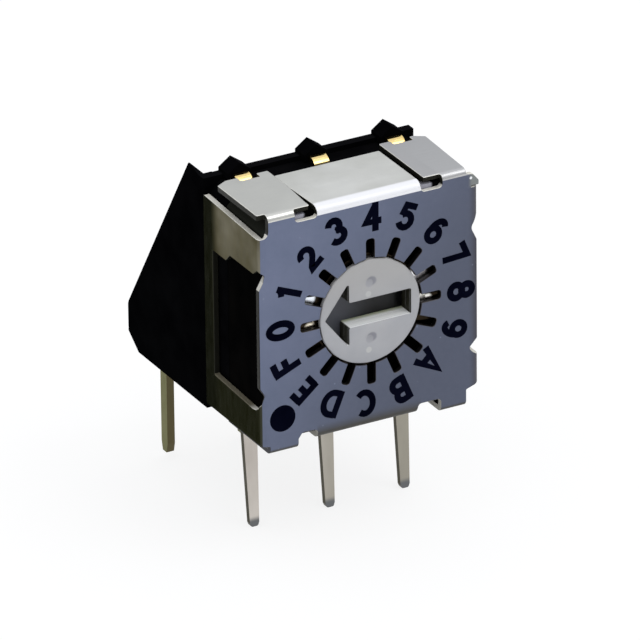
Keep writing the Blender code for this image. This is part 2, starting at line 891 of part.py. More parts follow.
def make_bracket():
    """The right-angle bracket: a plate behind the switch, two gussets, a floor and a hood over each lead."""
    wall = box_outline(bracket_left, bracket_right, 0, plate_top)
    body = extruded("Y", depth_y(plate_front), depth_y(plate_back), wall)
    bracket = place("bracket", body, black_moulding)
    foot = [
        (depth_y(plate_front), 0),
        (depth_y(heel_depth), 0),
        (depth_y(toe_depth), toe_low),
    ]
    floor = [*foot, (depth_y(toe_depth), floor_height), (depth_y(plate_front), floor_height)]
    join(bracket, helper("floor", extruded("X", bracket_left, bracket_right, floor)))
    left = [
        (depth_y(plate_front), 0),
        (depth_y(heel_depth), 0, toe_radius),
        (depth_y(toe_depth), toe_low, toe_radius),
        (depth_y(toe_depth), toe_high, toe_radius),
        (depth_y(apex_depth), apex_height, apex_radius),
        (depth_y(plate_back), plate_top),
        (depth_y(plate_front), plate_top),
    ]
    join(bracket, helper("left_gusset", extruded("X", bracket_left, bracket_left + gusset, rounded(left))))
    fall = (apex_height - right_gusset_top) / (apex_height - toe_high)
    cropped = apex_depth + fall * (toe_depth - apex_depth)
    right = left[:4] + [(depth_y(cropped), right_gusset_top, apex_radius), (depth_y(plate_front), right_gusset_top)]
    join(bracket, helper("right_gusset", extruded("X", bracket_right - gusset, bracket_right, rounded(right))))
    bevel = [
        (bracket_left, apex_height),
        (bracket_left + 2 * gusset, apex_height - 2 * gusset),
        (bracket_left + 2 * gusset, apex_height + gusset),
        (bracket_left, apex_height + gusset),
    ]
    cut(bracket, helper("apex_bevel", extruded("Y", depth_y(plate_back + fit), depth_y(toe_depth), bevel)))
    for column, across in columns.items():
        hood = [
            (across - hump_half, inside_high + fit),
            (across + hump_half, inside_high + fit),
            (across + hump_half, hump_eave),
            (across, hump_ridge),
            (across - hump_half, hump_eave),
        ]
        join(bracket, helper(f"hood_{column}", extruded("Y", depth_y(hump_front), depth_y(hump_back), hood)))
        gap = lead_width / 2 + fit
        low_corner = (across - gap, depth_y(hump_front - past), lead_top - lead - fit)
        high_corner = (across + gap, depth_y(lead_end + 2 * fit), lead_top + fit)
        cut(bracket, helper(f"lead_way_{column}", box(low_corner, high_corner)))
        gap = pin / 2 + fit
        top = lead_top - lead
        low_corner = (across - gap, depth_y(plate_front - past), top - pin_width - 2 * fit)
        high_corner = (across + gap, depth_y(hump_back + past), top)
        cut(bracket, helper(f"pin_way_{column}", box(low_corner, high_corner)))
        rear = depth_y(rear_depth)
        low_corner = (across - gap, rear - pin_width / 2 - fit, -past)
        high_corner = (across + gap, rear + pin_width / 2 + fit, floor_height + past)
        cut(bracket, helper(f"pin_hole_{column}", box(low_corner, high_corner)))
    for side in (-1, 1):
        hole = circle(peg_radius + fit, (side * peg_offset, 0), 24)
        span = (-plate_back - past, -plate_front + past)
        cut(bracket, helper(f"peg_hole_{side}", extruded("Z", *span, hole), dial))


def make_pins():
    """The three bracket pins, stamped flat: from under each upper lead down the slope and into the board."""
    top = lead_top - lead - fit - pin_width / 2
    rear = depth_y(rear_depth)
    for column, across in columns.items():
        path = [
            (depth_y(plate_front + fit), top),
            (depth_y(pin_knee_depth), top, pin_knee_radius),
            (rear, pin_heel_height, pin_knee_radius),
            (rear, -rear_pin_reach + rear_tip_length),
        ]
        outline = strip(path, pin_width, 4)
        end = len(outline) // 2
        half = rear_tip_width / 2
        tip = [Vector((rear - half, -rear_pin_reach)), Vector((rear + half, -rear_pin_reach))]
        if outline[end - 1].x > rear:
            tip.reverse()
        outline[end:end] = tip
        place(f"bracket_pin_{column}", extruded("X", across - pin / 2, across + pin / 2, outline), tinned_bronze)


make_cover()
make_housing()
make_rotor()
make_code_disc()
make_detent_spring()
make_seal()
make_base()
make_terminals()
make_bracket()
make_pins()
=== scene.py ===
# %% [markdown]
# # A rotary dip switch, dressed for its portrait
#
# The real object is about as big as a pea: a folded metal cover seven millimetres wide, a dial
# with an arrow-shaped slot, and a black bracket that turns the switch to face sideways. Its
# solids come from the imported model. This script keeps the ones whose shape is already right,
# and makes finer ones where light catches a fold, a cut edge or a printed digit.

# %% The tools and the fixed frame
from math import atan2, cos, pi, radians, sin, sqrt, tan

import bmesh
import bpy
from mathutils import Matrix, Vector
from mathutils.geometry import delaunay_2d_cdt


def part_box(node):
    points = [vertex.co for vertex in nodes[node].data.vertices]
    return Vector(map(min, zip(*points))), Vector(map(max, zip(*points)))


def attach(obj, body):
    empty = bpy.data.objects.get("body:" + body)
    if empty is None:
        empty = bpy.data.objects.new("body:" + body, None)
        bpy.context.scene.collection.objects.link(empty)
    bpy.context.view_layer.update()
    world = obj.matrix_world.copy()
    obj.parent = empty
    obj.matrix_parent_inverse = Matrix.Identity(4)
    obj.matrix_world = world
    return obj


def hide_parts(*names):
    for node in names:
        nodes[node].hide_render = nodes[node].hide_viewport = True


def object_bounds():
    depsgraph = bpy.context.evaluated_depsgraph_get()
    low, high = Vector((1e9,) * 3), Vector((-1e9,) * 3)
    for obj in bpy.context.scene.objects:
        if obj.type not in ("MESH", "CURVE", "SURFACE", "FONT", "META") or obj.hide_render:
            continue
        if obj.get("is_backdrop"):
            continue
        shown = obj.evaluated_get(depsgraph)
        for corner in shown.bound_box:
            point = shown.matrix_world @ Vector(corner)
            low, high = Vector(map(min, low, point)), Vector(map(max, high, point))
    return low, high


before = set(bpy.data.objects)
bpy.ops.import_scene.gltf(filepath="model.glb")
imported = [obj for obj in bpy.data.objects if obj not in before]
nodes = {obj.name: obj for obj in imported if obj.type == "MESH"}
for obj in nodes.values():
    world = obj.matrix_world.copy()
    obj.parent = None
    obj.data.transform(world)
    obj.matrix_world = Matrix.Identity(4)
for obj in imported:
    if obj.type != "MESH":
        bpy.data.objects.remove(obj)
cad_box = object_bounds()

# %% [markdown]
# ## Millimetres
#
# At this size a metre is a clumsy unit, so every length below is in millimetres. `MM` turns
# them into Blender's metres in one place, when a mesh is stored. The face's plane and the
# cover's half width are read from the solid cover, so that the fine one fits it.

# %% The sizes that several pieces share
MM = 0.001
low, high = (Vector(corner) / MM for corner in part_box("metal_cover"))
dial_y = round(low.y, 3)
half_width = round(high.x, 3)
sheet = 0.18
cover_bottom, cover_top = 0.03, 7.49
dial_drop = 0.02
dial_z = round((cover_bottom + cover_top) / 2 - dial_drop, 3)

RIGHT, LEFT = (1, 0, 0), (-1, 0, 0)
REAR, FRONT = (0, 1, 0), (0, -1, 0)
UP, DOWN = (0, 0, 1), (0, 0, -1)
print("the face lies at", dial_y, "mm, the dial's centre at", dial_z, "mm, half the cover is", half_width)

# %% [markdown]
# ## The camera
#
# The photo looks down on the switch from its left front. The camera stands a foot away with a
# very long lens, which is how small parts are photographed: edges that are parallel stay
# almost parallel.

# %% The camera
yaw, pitch, roll = radians(28.46), radians(25.77), radians(-0.65)
sight = Vector((sin(yaw) * cos(pitch), cos(yaw) * cos(pitch), -sin(pitch)))
level = Vector((cos(yaw), -sin(yaw), 0))
over = level.cross(sight)
right = cos(roll) * level + sin(roll) * over
above = cos(roll) * over - sin(roll) * level

camera = bpy.data.objects.new("camera", bpy.data.cameras.new("camera"))
camera.matrix_world = Matrix((right, above, -sight)).transposed().to_4x4()
camera.location = Vector((-129.283, -240.877, 133.130)) * MM
camera.data.sensor_width = 36
camera.data.lens = 576.9
bpy.context.scene.collection.objects.link(camera)
bpy.context.scene.camera = camera
bpy.context.scene.view_settings.view_transform = "Standard"
print("camera stands", round(camera.location.length / MM), "mm away")

# %% [markdown]
# ## Light
#
# A bright metal part shows the room more than its own colour, so the lamps are few, wide and
# soft. The stronger one stands above the front right and adds the highlights. The weaker one
# lifts the left side wall. Each lamp's power follows from its area, so that its size can change
# without its brightness.

# %% Two soft lamps
lit_place = Vector((0, -2, 3)) * MM


def soft_lamp(name, place, width, brightness):
    lamp = bpy.data.lights.new(name, "AREA")
    lamp.size = width * MM
    lamp.energy = brightness * pi * lamp.size**2
    made = bpy.data.objects.new(name, lamp)
    made.location = Vector(place) * MM
    made.rotation_euler = (lit_place - made.location).to_track_quat("-Z", "Y").to_euler()
    bpy.context.scene.collection.objects.link(made)


soft_lamp("key_lamp", (70, -130, 190), 120, 2.2)
soft_lamp("left_lamp", (-150, -90, 60), 90, 0.30)
print("lamps:", len(bpy.data.lights))

# %% [markdown]
# ## The room
#
# The room is a pale dome that is brightest overhead, so a flat top is light, a fold that looks
# up is nearly white, and an upright wall is darker. Only reflections and soft light see the
# dome: the camera itself looks at plain white, like a photographer's paper.


# %% A helper for nodes, and the room
def add_node(tree, kind, inputs=None, **settings):
    """A node with its settings, whose inputs are values or other nodes' outputs."""
    made = tree.nodes.new(kind)
    for name, value in settings.items():
        setattr(made, name, value)
    for name, value in (inputs or {}).items():
        if isinstance(value, bpy.types.NodeSocket):
            tree.links.new(value, made.inputs[name])
        else:
            made.inputs[name].default_value = value
    return made


def combined(tree, operation, first, second):
    return add_node(tree, "ShaderNodeMath", {0: first, 1: second}, operation=operation).outputs[0]


def ramp(tree, value, start, end, low=0.0, high=1.0, way="SMOOTHSTEP"):
    """A value that runs from low to high while another one runs from start to end."""
    limits = {"From Min": start, "From Max": end, "To Min": low, "To Max": high}
    return add_node(tree, "ShaderNodeMapRange", {"Value": value, **limits}, interpolation_type=way).outputs[0]


world = bpy.data.worlds.new("pale_room")
bpy.context.scene.world = world
world.use_nodes = True
tree = world.node_tree
tree.nodes.clear()
aim = add_node(tree, "ShaderNodeTexCoord")
parts = add_node(tree, "ShaderNodeSeparateXYZ", {"Vector": aim.outputs["Generated"]})
strength = ramp(tree, parts.outputs["Z"], 0.05, 0.75, 0.38, 0.95)
dome = add_node(tree, "ShaderNodeBackground", {"Color": (0.94, 0.96, 1.0, 1), "Strength": strength})
blank = add_node(tree, "ShaderNodeBackground", {"Color": (1, 1, 1, 1), "Strength": 1.0})
seen = add_node(tree, "ShaderNodeLightPath").outputs["Is Camera Ray"]
room = add_node(tree, "ShaderNodeMixShader", {0: seen, 1: dome.outputs[0], 2: blank.outputs[0]})
add_node(tree, "ShaderNodeOutputWorld", {"Surface": room.outputs[0]})
print("room has", len(tree.nodes), "nodes")

# %% [markdown]
# ## The floor
#
# The switch stands on its pins' ends, over a white sheet that the camera sees almost without
# shade. So the floor is mostly its own pale light for the camera and for reflections, and a
# little matt, which leaves a faint soft shadow. To all other light it is a plain matt sheet.

# %% The floor
floor_mesh = bpy.data.meshes.new("floor")
floor_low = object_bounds()[0].z - 0.01 * MM
reach = 3000 * MM
floor_corners = ((-reach, -reach), (reach, -reach), (reach, reach), (-reach, reach))
floor_mesh.from_pydata([(*corner, floor_low) for corner in floor_corners], [], [(0, 1, 2, 3)])
floor = bpy.data.objects.new("floor", floor_mesh)
bpy.context.scene.collection.objects.link(floor)
floor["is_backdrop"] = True

floor_material = bpy.data.materials.new("pale_floor")
floor_material.use_nodes = True
tree = floor_material.node_tree
tree.nodes.clear()
paths = add_node(tree, "ShaderNodeLightPath")
looks = paths.outputs["Is Camera Ray"]
for kind in ("Is Glossy Ray", "Is Transmission Ray"):
    looks = combined(tree, "ADD", looks, paths.outputs[kind])
glow_share = 0.75
glow = combined(tree, "MULTIPLY", looks, glow_share)
matt = add_node(tree, "ShaderNodeBsdfDiffuse", {"Color": (0.84, 0.84, 0.84, 1)})
white = add_node(tree, "ShaderNodeEmission", {"Color": (1, 1, 1, 1), "Strength": 1.10})
blend = add_node(tree, "ShaderNodeMixShader", {0: glow, 1: matt.outputs[0], 2: white.outputs[0]})
add_node(tree, "ShaderNodeOutputMaterial", {"Surface": blend.outputs[0]})
floor_mesh.materials.append(floor_material)
print("floor lies at", round(floor_low / MM, 2), "mm")

# %% [markdown]
# ## Grain, the first of the shared effects
#
# Five node groups are enough for this object, and each is placed in every finish that needs it,
# with its own values. `fine_grain` is the pattern of a real surface seen close: a small noise,
# which can be stretched to look rolled or brushed, and a large soft cloud for uneven colour.


# %% The grain group
def new_group(name, inputs, outputs):
    """A group whose inputs have a name and a usual value, a number or a vector."""
    group = bpy.data.node_groups.new(name, "ShaderNodeTree")
    for socket, value in inputs.items():
        kind = "NodeSocketFloat" if isinstance(value, float) else "NodeSocketVector"
        group.interface.new_socket(socket, in_out="INPUT", socket_type=kind).default_value = value
    for socket in outputs:
        group.interface.new_socket(socket, in_out="OUTPUT", socket_type="NodeSocketFloat")
    start = group.nodes.new("NodeGroupInput")
    end = group.nodes.new("NodeGroupOutput")
    return group, start, end


def vectors(group, operation, coordinate, other):
    """A node that works on the place or the normal and one more vector."""
    place = add_node(group, "ShaderNodeTexCoord").outputs[coordinate]
    return add_node(group, "ShaderNodeVectorMath", {0: place, 1: other}, operation=operation)


def noise(group, place, scale, detail, roughness):
    settings = {"Vector": place, "Scale": scale, "Detail": detail, "Roughness": roughness}
    return add_node(group, "ShaderNodeTexNoise", settings).outputs["Fac"]


def build_fine_grain():
    inputs = {"Scale": 9000.0, "Stretch": (1, 1, 1)}
    group, start, end = new_group("fine_grain", inputs, ("Fine", "Cloud"))
    pulled = vectors(group, "MULTIPLY", "Object", start.outputs["Stretch"]).outputs[0]
    place = add_node(group, "ShaderNodeTexCoord").outputs["Object"]
    cloud_share = 0.11
    broad = combined(group, "MULTIPLY", start.outputs["Scale"], cloud_share)
    group.links.new(noise(group, pulled, start.outputs["Scale"], 4.0, 0.6), end.inputs["Fine"])
    group.links.new(noise(group, place, broad, 3.0, 0.5), end.inputs["Cloud"])
    return group


fine_grain = build_fine_grain()
print("grain group has", len(fine_grain.nodes), "nodes")

# %% [markdown]
# ## Masks, the other shared effects
#
# A finish that changes over an object needs to know where it is. `facing` is a mask of the
# surfaces that look one way, and `along` grows along one direction of the object. `near` is a
# soft round mask about one place. `specks` scatters a few tiny marks, as dust does.


# %% The mask groups
def build_mask(name, coordinate):
    """How far a surface's normal or place reaches along a direction, from 0 to 1."""
    inputs = {"Direction": FRONT, "From": 0.6, "To": 0.9}
    group, start, end = new_group(name, inputs, ("Mask",))
    reached = vectors(group, "DOT_PRODUCT", coordinate, start.outputs["Direction"]).outputs["Value"]
    mask = ramp(group, reached, start.outputs["From"], start.outputs["To"])
    group.links.new(mask, end.inputs["Mask"])
    return group


def build_near():
    """How near a place is to a centre: 1 within the radius, 0 beyond one and a half radii."""
    inputs = {"Centre": (0, 0, 0), "Radius": 0.0002}
    group, start, end = new_group("near", inputs, ("Mask",))
    apart = vectors(group, "DISTANCE", "Object", start.outputs["Centre"]).outputs["Value"]
    edge = combined(group, "MULTIPLY", start.outputs["Radius"], 1.5)
    group.links.new(ramp(group, apart, edge, start.outputs["Radius"]), end.inputs["Mask"])
    return group


def build_specks():
    """Small marks in some of the cells of a random pattern, which grow with the amount."""
    inputs = {"Scale": 3000.0, "Amount": 0.1}
    group, start, end = new_group("specks", inputs, ("Mask",))
    place = add_node(group, "ShaderNodeTexCoord").outputs["Object"]
    cells = add_node(group, "ShaderNodeTexVoronoi", {"Vector": place, "Scale": start.outputs["Scale"]})
    mark = ramp(group, cells.outputs["Distance"], start.outputs["Amount"], 0.0, way="LINEAR")
    pick = add_node(group, "ShaderNodeSeparateColor", {"Color": cells.outputs["Color"]})
    bare_cells = 0.7
    chosen = combined(group, "GREATER_THAN", pick.outputs[0], bare_cells)
    group.links.new(combined(group, "MULTIPLY", mark, chosen), end.inputs["Mask"])
    return group


specks, near = build_specks(), build_near()
facing, along = build_mask("facing", "Normal"), build_mask("along", "Object")
print("groups:", [group.name for group in (fine_grain, facing, along, near, specks)])

# %% [markdown]
# ## One way to write a finish
#
# Every finish below is a Principled shader with the same parts: two tones that the cloud mixes,
# a range of roughness, and a little relief from the fine pattern. What is the same all over, such
# as how metallic a surface is, sits on the shader itself. A finish may then put more tones over
# the first one, each through a mask.


# %% Masks in millimetres
def use_group(tree, group, inputs):
    made = add_node(tree, "ShaderNodeGroup", node_tree=group)
    for name, value in inputs.items():
        made.inputs[name].default_value = value
    return made


def looking(tree, direction, start, end):
    """A mask from the normal: 0 up to the first share of the direction, 1 from the second."""
    return use_group(tree, facing, {"Direction": direction, "From": start, "To": end}).outputs["Mask"]


def reaching(tree, direction, start, end):
    """A mask from the place, whose limits are in millimetres."""
    limits = {"From": start * MM, "To": end * MM}
    return use_group(tree, along, {"Direction": direction, **limits}).outputs["Mask"]


def spot(tree, centre, radius):
    centre = tuple(Vector(centre) * MM)
    return use_group(tree, near, {"Centre": centre, "Radius": radius * MM}).outputs["Mask"]


def product(tree, first, second):
    return combined(tree, "MULTIPLY", first, second)


print("masks come from", [group.name for group in (facing, along, near)])


# %% A finish from the shared parts
def between(tree, factor, dark, light):
    """A colour between two others."""
    made = add_node(tree, "ShaderNodeMix", {"Factor": factor}, data_type="RGBA")
    for socket, value in ((made.inputs[6], dark), (made.inputs[7], light)):
        if isinstance(value, bpy.types.NodeSocket):
            tree.links.new(value, socket)
        else:
            socket.default_value = (*value, 1)
    return made.outputs[2]


def spread(tree, factor, low, high):
    """A value that runs from low to high as the pattern runs over its usual range."""
    return ramp(tree, factor, 0.3, 0.7, low, high, way="LINEAR")


EVEN = (9000.0, (1, 1, 1))
micron = 0.001 * MM


def new_finish(name, dark, light, roughness, grain=EVEN, relief=1.5, metallic=0.0, specular=0.5):
    """A material with its tree, its shader and its tone, which a finish may still change.

    The grain is a scale and a stretch, and the relief is in thousandths of a millimetre.
    """
    made = bpy.data.materials.new(name)
    made.use_nodes = True
    tree = made.node_tree
    shader = tree.nodes["Principled BSDF"]
    pattern = use_group(tree, fine_grain, {"Scale": grain[0], "Stretch": grain[1]})
    cloud, fine = pattern.outputs["Cloud"], pattern.outputs["Fine"]
    tone = between(tree, spread(tree, cloud, 0, 1), dark, light)
    bump = add_node(tree, "ShaderNodeBump", {"Height": fine, "Distance": relief * micron, "Strength": 0.6})
    tree.links.new(tone, shader.inputs["Base Color"])
    tree.links.new(spread(tree, fine, *roughness), shader.inputs["Roughness"])
    tree.links.new(bump.outputs["Normal"], shader.inputs["Normal"])
    shader.inputs["Metallic"].default_value = metallic
    shader.inputs["Specular IOR Level"].default_value = specular
    return made, tree, shader, tone


print("plain grain has a scale of", EVEN[0])

# %% [markdown]
# ## The plain finishes
#
# Five materials are the same all over: the dark inside of the stamped slots, the black of the
# contact base, the gold plating of the upper terminals and the code disc, the seal's rubber, and
# the ink of the signs. Black plastic gets no mirror-like shine here, because its moulded surface
# is too rough for one.

# %% Slots, base, gold, rubber and ink
# Each row: the dark tone, the light tone, roughness, grain, relief, metallic, specular.
PLAIN = {
    "slot_edge": ((0.05, 0.045, 0.045), (0.12, 0.11, 0.11), (0.35, 0.5), EVEN, 1.5, 1.0),
    "base_black": ((0.0015, 0.0015, 0.0018), (0.004, 0.004, 0.0045), (0.50, 0.65), EVEN, 3, 0.0, 0.0),
    "gold_plate": ((0.92, 0.64, 0.22), (0.98, 0.80, 0.38), (0.12, 0.28), (5000.0, (1, 0.3, 1)), 1.5, 1.0),
    "seal_rubber": ((0.004, 0.004, 0.004), (0.008, 0.008, 0.008), (0.60, 0.80), EVEN, 1.5, 0.0, 0.2),
    "digit_ink": ((0.0012, 0.0016, 0.0060), (0.0030, 0.0036, 0.0110), (0.50, 0.65), EVEN, 1, 0.0, 0.0),
}
plain = [new_finish(name, *values)[0] for name, values in PLAIN.items()]
slot_edge, base_black, gold_plate, seal_rubber, digit_ink = plain
print("plain finishes:", [made.name for made in plain])

# %% [markdown]
# ## Tin plate
#
# The folded tabs on top are bare tin plate. The outer tabs are painted darker than the middle
# one, the right one darkest, as painted shade for the angles at which they meet the light, and
# the middle fold is painted near white and hardly metallic, as a painted highlight. One material
# does all three tabs, with a mask that changes at each slit.

# %% Tin plate
tin_plate, tree, shader, tone = new_finish(
    "tin_plate", (0.69, 0.69, 0.64), (0.87, 0.87, 0.83), (0.28, 0.46),
    grain=(5000.0, (0.25, 1, 1)), relief=2.5, metallic=1.0,
)
left_tab = reaching(tree, LEFT, 1.80, 1.84)
right_tab = reaching(tree, RIGHT, 1.72, 1.80)
# painted shade: the outer tabs darker, the right one darkest
tone = between(tree, left_tab, tone, (0.68, 0.68, 0.64))
tone = between(tree, right_tab, tone, (0.55, 0.55, 0.55))
outer_tabs = combined(tree, "MAXIMUM", left_tab, right_tab)
middle_tab = combined(tree, "SUBTRACT", 1.0, outer_tabs)
# a painted highlight on the middle fold, near white and hardly metallic
painted_fold_highlight = product(tree, reaching(tree, FRONT, -dial_y - 0.34, -dial_y - 0.24), middle_tab)
tree.links.new(between(tree, painted_fold_highlight, tone, (0.98, 0.98, 1.0)), shader.inputs["Base Color"])
tree.links.new(ramp(tree, painted_fold_highlight, 0.0, 1.0, 1.0, 0.1, way="LINEAR"), shader.inputs["Metallic"])
print("tin plate has", len(tree.nodes), "nodes")

# %% [markdown]
# ## Pins
#
# The pins are tinned bronze, dark at their tips. Their left sides have the olive of bare bronze,
# painted dark as shade, and the pins are painted darker from left to right and much darker in
# the rear row, as painted shade.

# %% Pins
pin_tin, tree, shader, tone = new_finish(
    "pin_tin", (0.50, 0.46, 0.42), (0.64, 0.60, 0.55), (0.30, 0.45),
    grain=(5000.0, (1, 1, 0.2)), relief=2, metallic=1.0,
)
# painted shade: darker from left to right
tone = between(tree, reaching(tree, RIGHT, -2.0, 1.0), tone, (0.34, 0.32, 0.27))
tone = between(tree, reaching(tree, DOWN, 3.42, 3.62), tone, (0.15, 0.155, 0.16))
# painted shade on the rear row
rear_row = reaching(tree, REAR, 0.5, 1.0)
tone = between(tree, rear_row, tone, (0.10, 0.085, 0.045))
flank = between(tree, rear_row, (0.035, 0.030, 0.012), (0.13, 0.128, 0.042))
# the left sides: olive bare bronze, painted dark as shade
flanks = looking(tree, LEFT, 0.5, 0.9)
tree.links.new(between(tree, flanks, tone, flank), shader.inputs["Base Color"])
print("pins have", len(tree.nodes), "nodes")

# %% [markdown]
# ## The housing and the bracket
#
# Both are moulded in black plastic. The housing has a corner that is a little olive, and two
# bosses seen through the reliefs at the top are painted grey as painted highlights. The bracket is
# painted a shade paler where it looks back or up to the right, as painted light on those sides.

# %% The housing and the bracket
housing_black, tree, shader, tone = new_finish(
    "housing_black", (0.0015, 0.0015, 0.0015), (0.0035, 0.0032, 0.003), (0.50, 0.65),
    relief=3, specular=0.0,
)
olive = product(tree, reaching(tree, UP, 6.6, 6.9), looking(tree, LEFT, 0.2, 0.7))
tone = between(tree, olive, tone, (0.020, 0.021, 0.017))
# painted highlights on two bosses seen through the reliefs
for boss in ((-2.25, dial_y + 0.28, 7.25), (1.97, dial_y + 0.28, 7.22)):
    tone = between(tree, spot(tree, boss, 0.16), tone, (0.42, 0.42, 0.48))
tree.links.new(tone, shader.inputs["Base Color"])

bracket_black, tree, shader, tone = new_finish(
    "bracket_black", (0.0012, 0.0012, 0.0015), (0.0028, 0.0028, 0.0032), (0.50, 0.65),
    relief=3, specular=0.0,
)
# painted light: paler on faces that look back or up to the right
tone = between(tree, looking(tree, REAR, 0.1, 0.9), tone, (0.011, 0.011, 0.012))
tone = between(tree, looking(tree, (0.7, 0, 0.7), 0.5, 0.9), tone, (0.008, 0.008, 0.009))
tree.links.new(tone, shader.inputs["Base Color"])
print("black finishes:", housing_black.name, "and", bracket_black.name)

# %% [markdown]
# ## The painted face
#
# The face is steel under a thin blue-grey paint with a metallic shimmer. The paint also covers
# the first part of each side fold. It is painted paler at the upper left and darker towards the
# lower right, as painted light and shade, and painted dark where it rolls down and round the
# right fold, as painted shade. The little ear at the upper right is bare metal, painted light grey
# as a painted reflection, with one painted glint. A few lighter specks of dust lie in the paint.

# %% The face's finish
face_paint, tree, shader, tone = new_finish(
    "face_paint", (0.138, 0.168, 0.262), (0.168, 0.196, 0.300), (0.42, 0.56),
    grain=(7000.0, (1, 1, 1)), relief=2.0, metallic=0.25,
)
# painted light and shade: darker towards the lower right
tone = between(tree, reaching(tree, (1, 0, -0.6), -7.5, 1.0), tone, (0.088, 0.102, 0.152))
dust = use_group(tree, specks, {"Scale": 2600.0, "Amount": 0.10}).outputs["Mask"]
tone = between(tree, dust, tone, (0.22, 0.26, 0.36))
# painted shade on the right fold
tone = between(tree, reaching(tree, RIGHT, 3.22, 3.62), tone, (0.045, 0.040, 0.050))
# painted shade where the bottom middle fold rolls under
rolled_under_shade = product(tree, reaching(tree, RIGHT, -1.84, -1.80), reaching(tree, LEFT, -1.66, -1.62))
rolled_under_shade = product(tree, rolled_under_shade, reaching(tree, DOWN, -0.56, -0.12))
tone = between(tree, rolled_under_shade, tone, (0.055, 0.051, 0.042))
# the bare ear, painted pale grey as a reflection, then a painted glint
ear = product(tree, reaching(tree, RIGHT, 3.24, 3.40), reaching(tree, UP, 6.90, 7.00))
tone = between(tree, ear, tone, (0.235, 0.250, 0.245))
tone = between(tree, spot(tree, (3.35, dial_y, 7.24), 0.035), tone, (0.95, 0.97, 0.98))
# painted shade on every surface that looks down
tone = between(tree, looking(tree, DOWN, 0.03, 0.55), tone, (0.030, 0.028, 0.022))
tree.links.new(tone, shader.inputs["Base Color"])
print("face finish has", len(tree.nodes), "nodes")

# %% [markdown]
# ## The walls, with a painted dark reflection
#
# The side walls are bare metal, painted a dark olive brown as the dark reflection they show, and
# painted darker still towards the board and the bracket, as painted shade. Specular Tint browns
# and darkens what shines on them as well.

# %% The walls' finish
wall_tin, tree, shader, tone = new_finish(
    "wall_tin", (0.090, 0.083, 0.056), (0.230, 0.218, 0.175), (0.30, 0.48),
    grain=(5000.0, (1, 1, 0.3)), relief=2.5, metallic=1.0,
)
# painted shade: darker towards the board and towards the bracket
tone = between(tree, reaching(tree, DOWN, -4.5, -1.0), tone, (0.044, 0.046, 0.034))
tone = between(tree, reaching(tree, REAR, dial_y + 2.5, dial_y + 3.1), tone, (0.034, 0.036, 0.028))
tree.links.new(tone, shader.inputs["Base Color"])
shader.inputs["Specular Tint"].default_value = (0.22, 0.21, 0.16, 1)
print("wall finish has", len(tree.nodes), "nodes")

# %% [markdown]
# ## The spring
#
# The spring is painted dark, as the shade it lies in behind the face. It is painted bright only at
# its two ends, where its ridges drop in and out of the slots: each painted highlight is one soft
# spot, seen through a slot.

# %% The spring's finish
spring_steel, tree, shader, tone = new_finish(
    "spring_steel", (0.016, 0.012, 0.008), (0.030, 0.022, 0.014), (0.20, 0.34),
    grain=(5000.0, (1, 1, 0.3)), metallic=1.0,
)
leaf_depth = 0.26
# the painted highlights: across, up, radius and colour
painted_glints = (
    (-1.98, -0.12, 0.17, (0.95, 0.88, 0.72)),
    (-1.97, 0.78, 0.20, (0.88, 0.93, 1.0)),
    (1.66, 0.68, 0.25, (0.98, 0.97, 1.0)),
    (1.92, -0.10, 0.17, (0.96, 0.95, 0.90)),
)
for across, up, radius, glint in painted_glints:
    mask = spot(tree, (across, dial_y + leaf_depth, dial_z + up), radius)
    tone = between(tree, mask, tone, glint)
tree.links.new(tone, shader.inputs["Base Color"])
shader.inputs["Specular Tint"].default_value = (0.3, 0.3, 0.3, 1)
print("spring has", len(painted_glints), "bright places")

# %% [markdown]
# ## The cut edges
#
# Where the sheet was cut, its bare steel shows. An edge that looks up is painted almost white, as a
# painted highlight, and one that looks aside is painted nearly black, as painted shade. Near the
# board and at the left corner the edges get painted shade too, so the tone also follows the height.

# %% The cut edges
cut_edge, tree, shader, tone = new_finish(
    "cut_edge", (0.88, 0.85, 0.75), (0.97, 0.95, 0.88), (0.35, 0.50),
    relief=3, metallic=0.2, specular=0.08,
)
# painted shade on low edges near the board
low_rim = product(tree, reaching(tree, DOWN, -2.2, -1.6), reaching(tree, REAR, dial_y + 0.5, dial_y + 0.9))
tone = between(tree, low_rim, tone, (0.20, 0.18, 0.13))
# painted tones for edges that look aside: grey low down, dark at the left corner and higher up
aside = between(tree, reaching(tree, DOWN, -0.55, -0.45), tone, (0.35, 0.34, 0.30))
aside = between(tree, reaching(tree, LEFT, 3.28, 3.34), aside, (0.050, 0.052, 0.060))
aside = between(tree, reaching(tree, UP, 0.45, 0.55), aside, (0.016, 0.016, 0.012))
upwards = looking(tree, UP, 0.12, 0.65)
tree.links.new(between(tree, upwards, aside, tone), shader.inputs["Base Color"])
print("cut edges have", len(tree.nodes), "nodes")

# %% [markdown]
# ## Outlines
#
# Every stamped or moulded piece here starts as a flat outline: a few corners, each with the
# radius that the tool left there. These helpers turn corners into arcs, draw circles, move an
# outline inwards, and tell whether a point lies in the material.


# %% Lines with round corners
def turned(vector, angle):
    across = vector.x * cos(angle) - vector.y * sin(angle)
    return Vector((across, vector.x * sin(angle) + vector.y * cos(angle)))


def corner_arc(before, here, after, radius, steps):
    towards = (before - here).normalized()
    away = (after - here).normalized()
    half = towards.angle(away) / 2
    centre = here + (towards + away).normalized() * radius / sin(half)
    start = here + towards * radius / tan(half) - centre
    end = here + away * radius / tan(half) - centre
    sweep = atan2(start.x * end.y - start.y * end.x, start.dot(end))
    return [centre + turned(start, sweep * step / steps) for step in range(steps + 1)]


def rounded(corners, steps=5):
    """A closed line through (u, v) or (u, v, radius) corners."""
    points = [Vector(corner[:2]) for corner in corners]
    line = []
    for index, corner in enumerate(corners):
        after = points[(index + 1) % len(points)]
        if len(corner) > 2:
            line += corner_arc(points[index - 1], points[index], after, corner[2], steps)
        else:
            line.append(points[index])
    return line


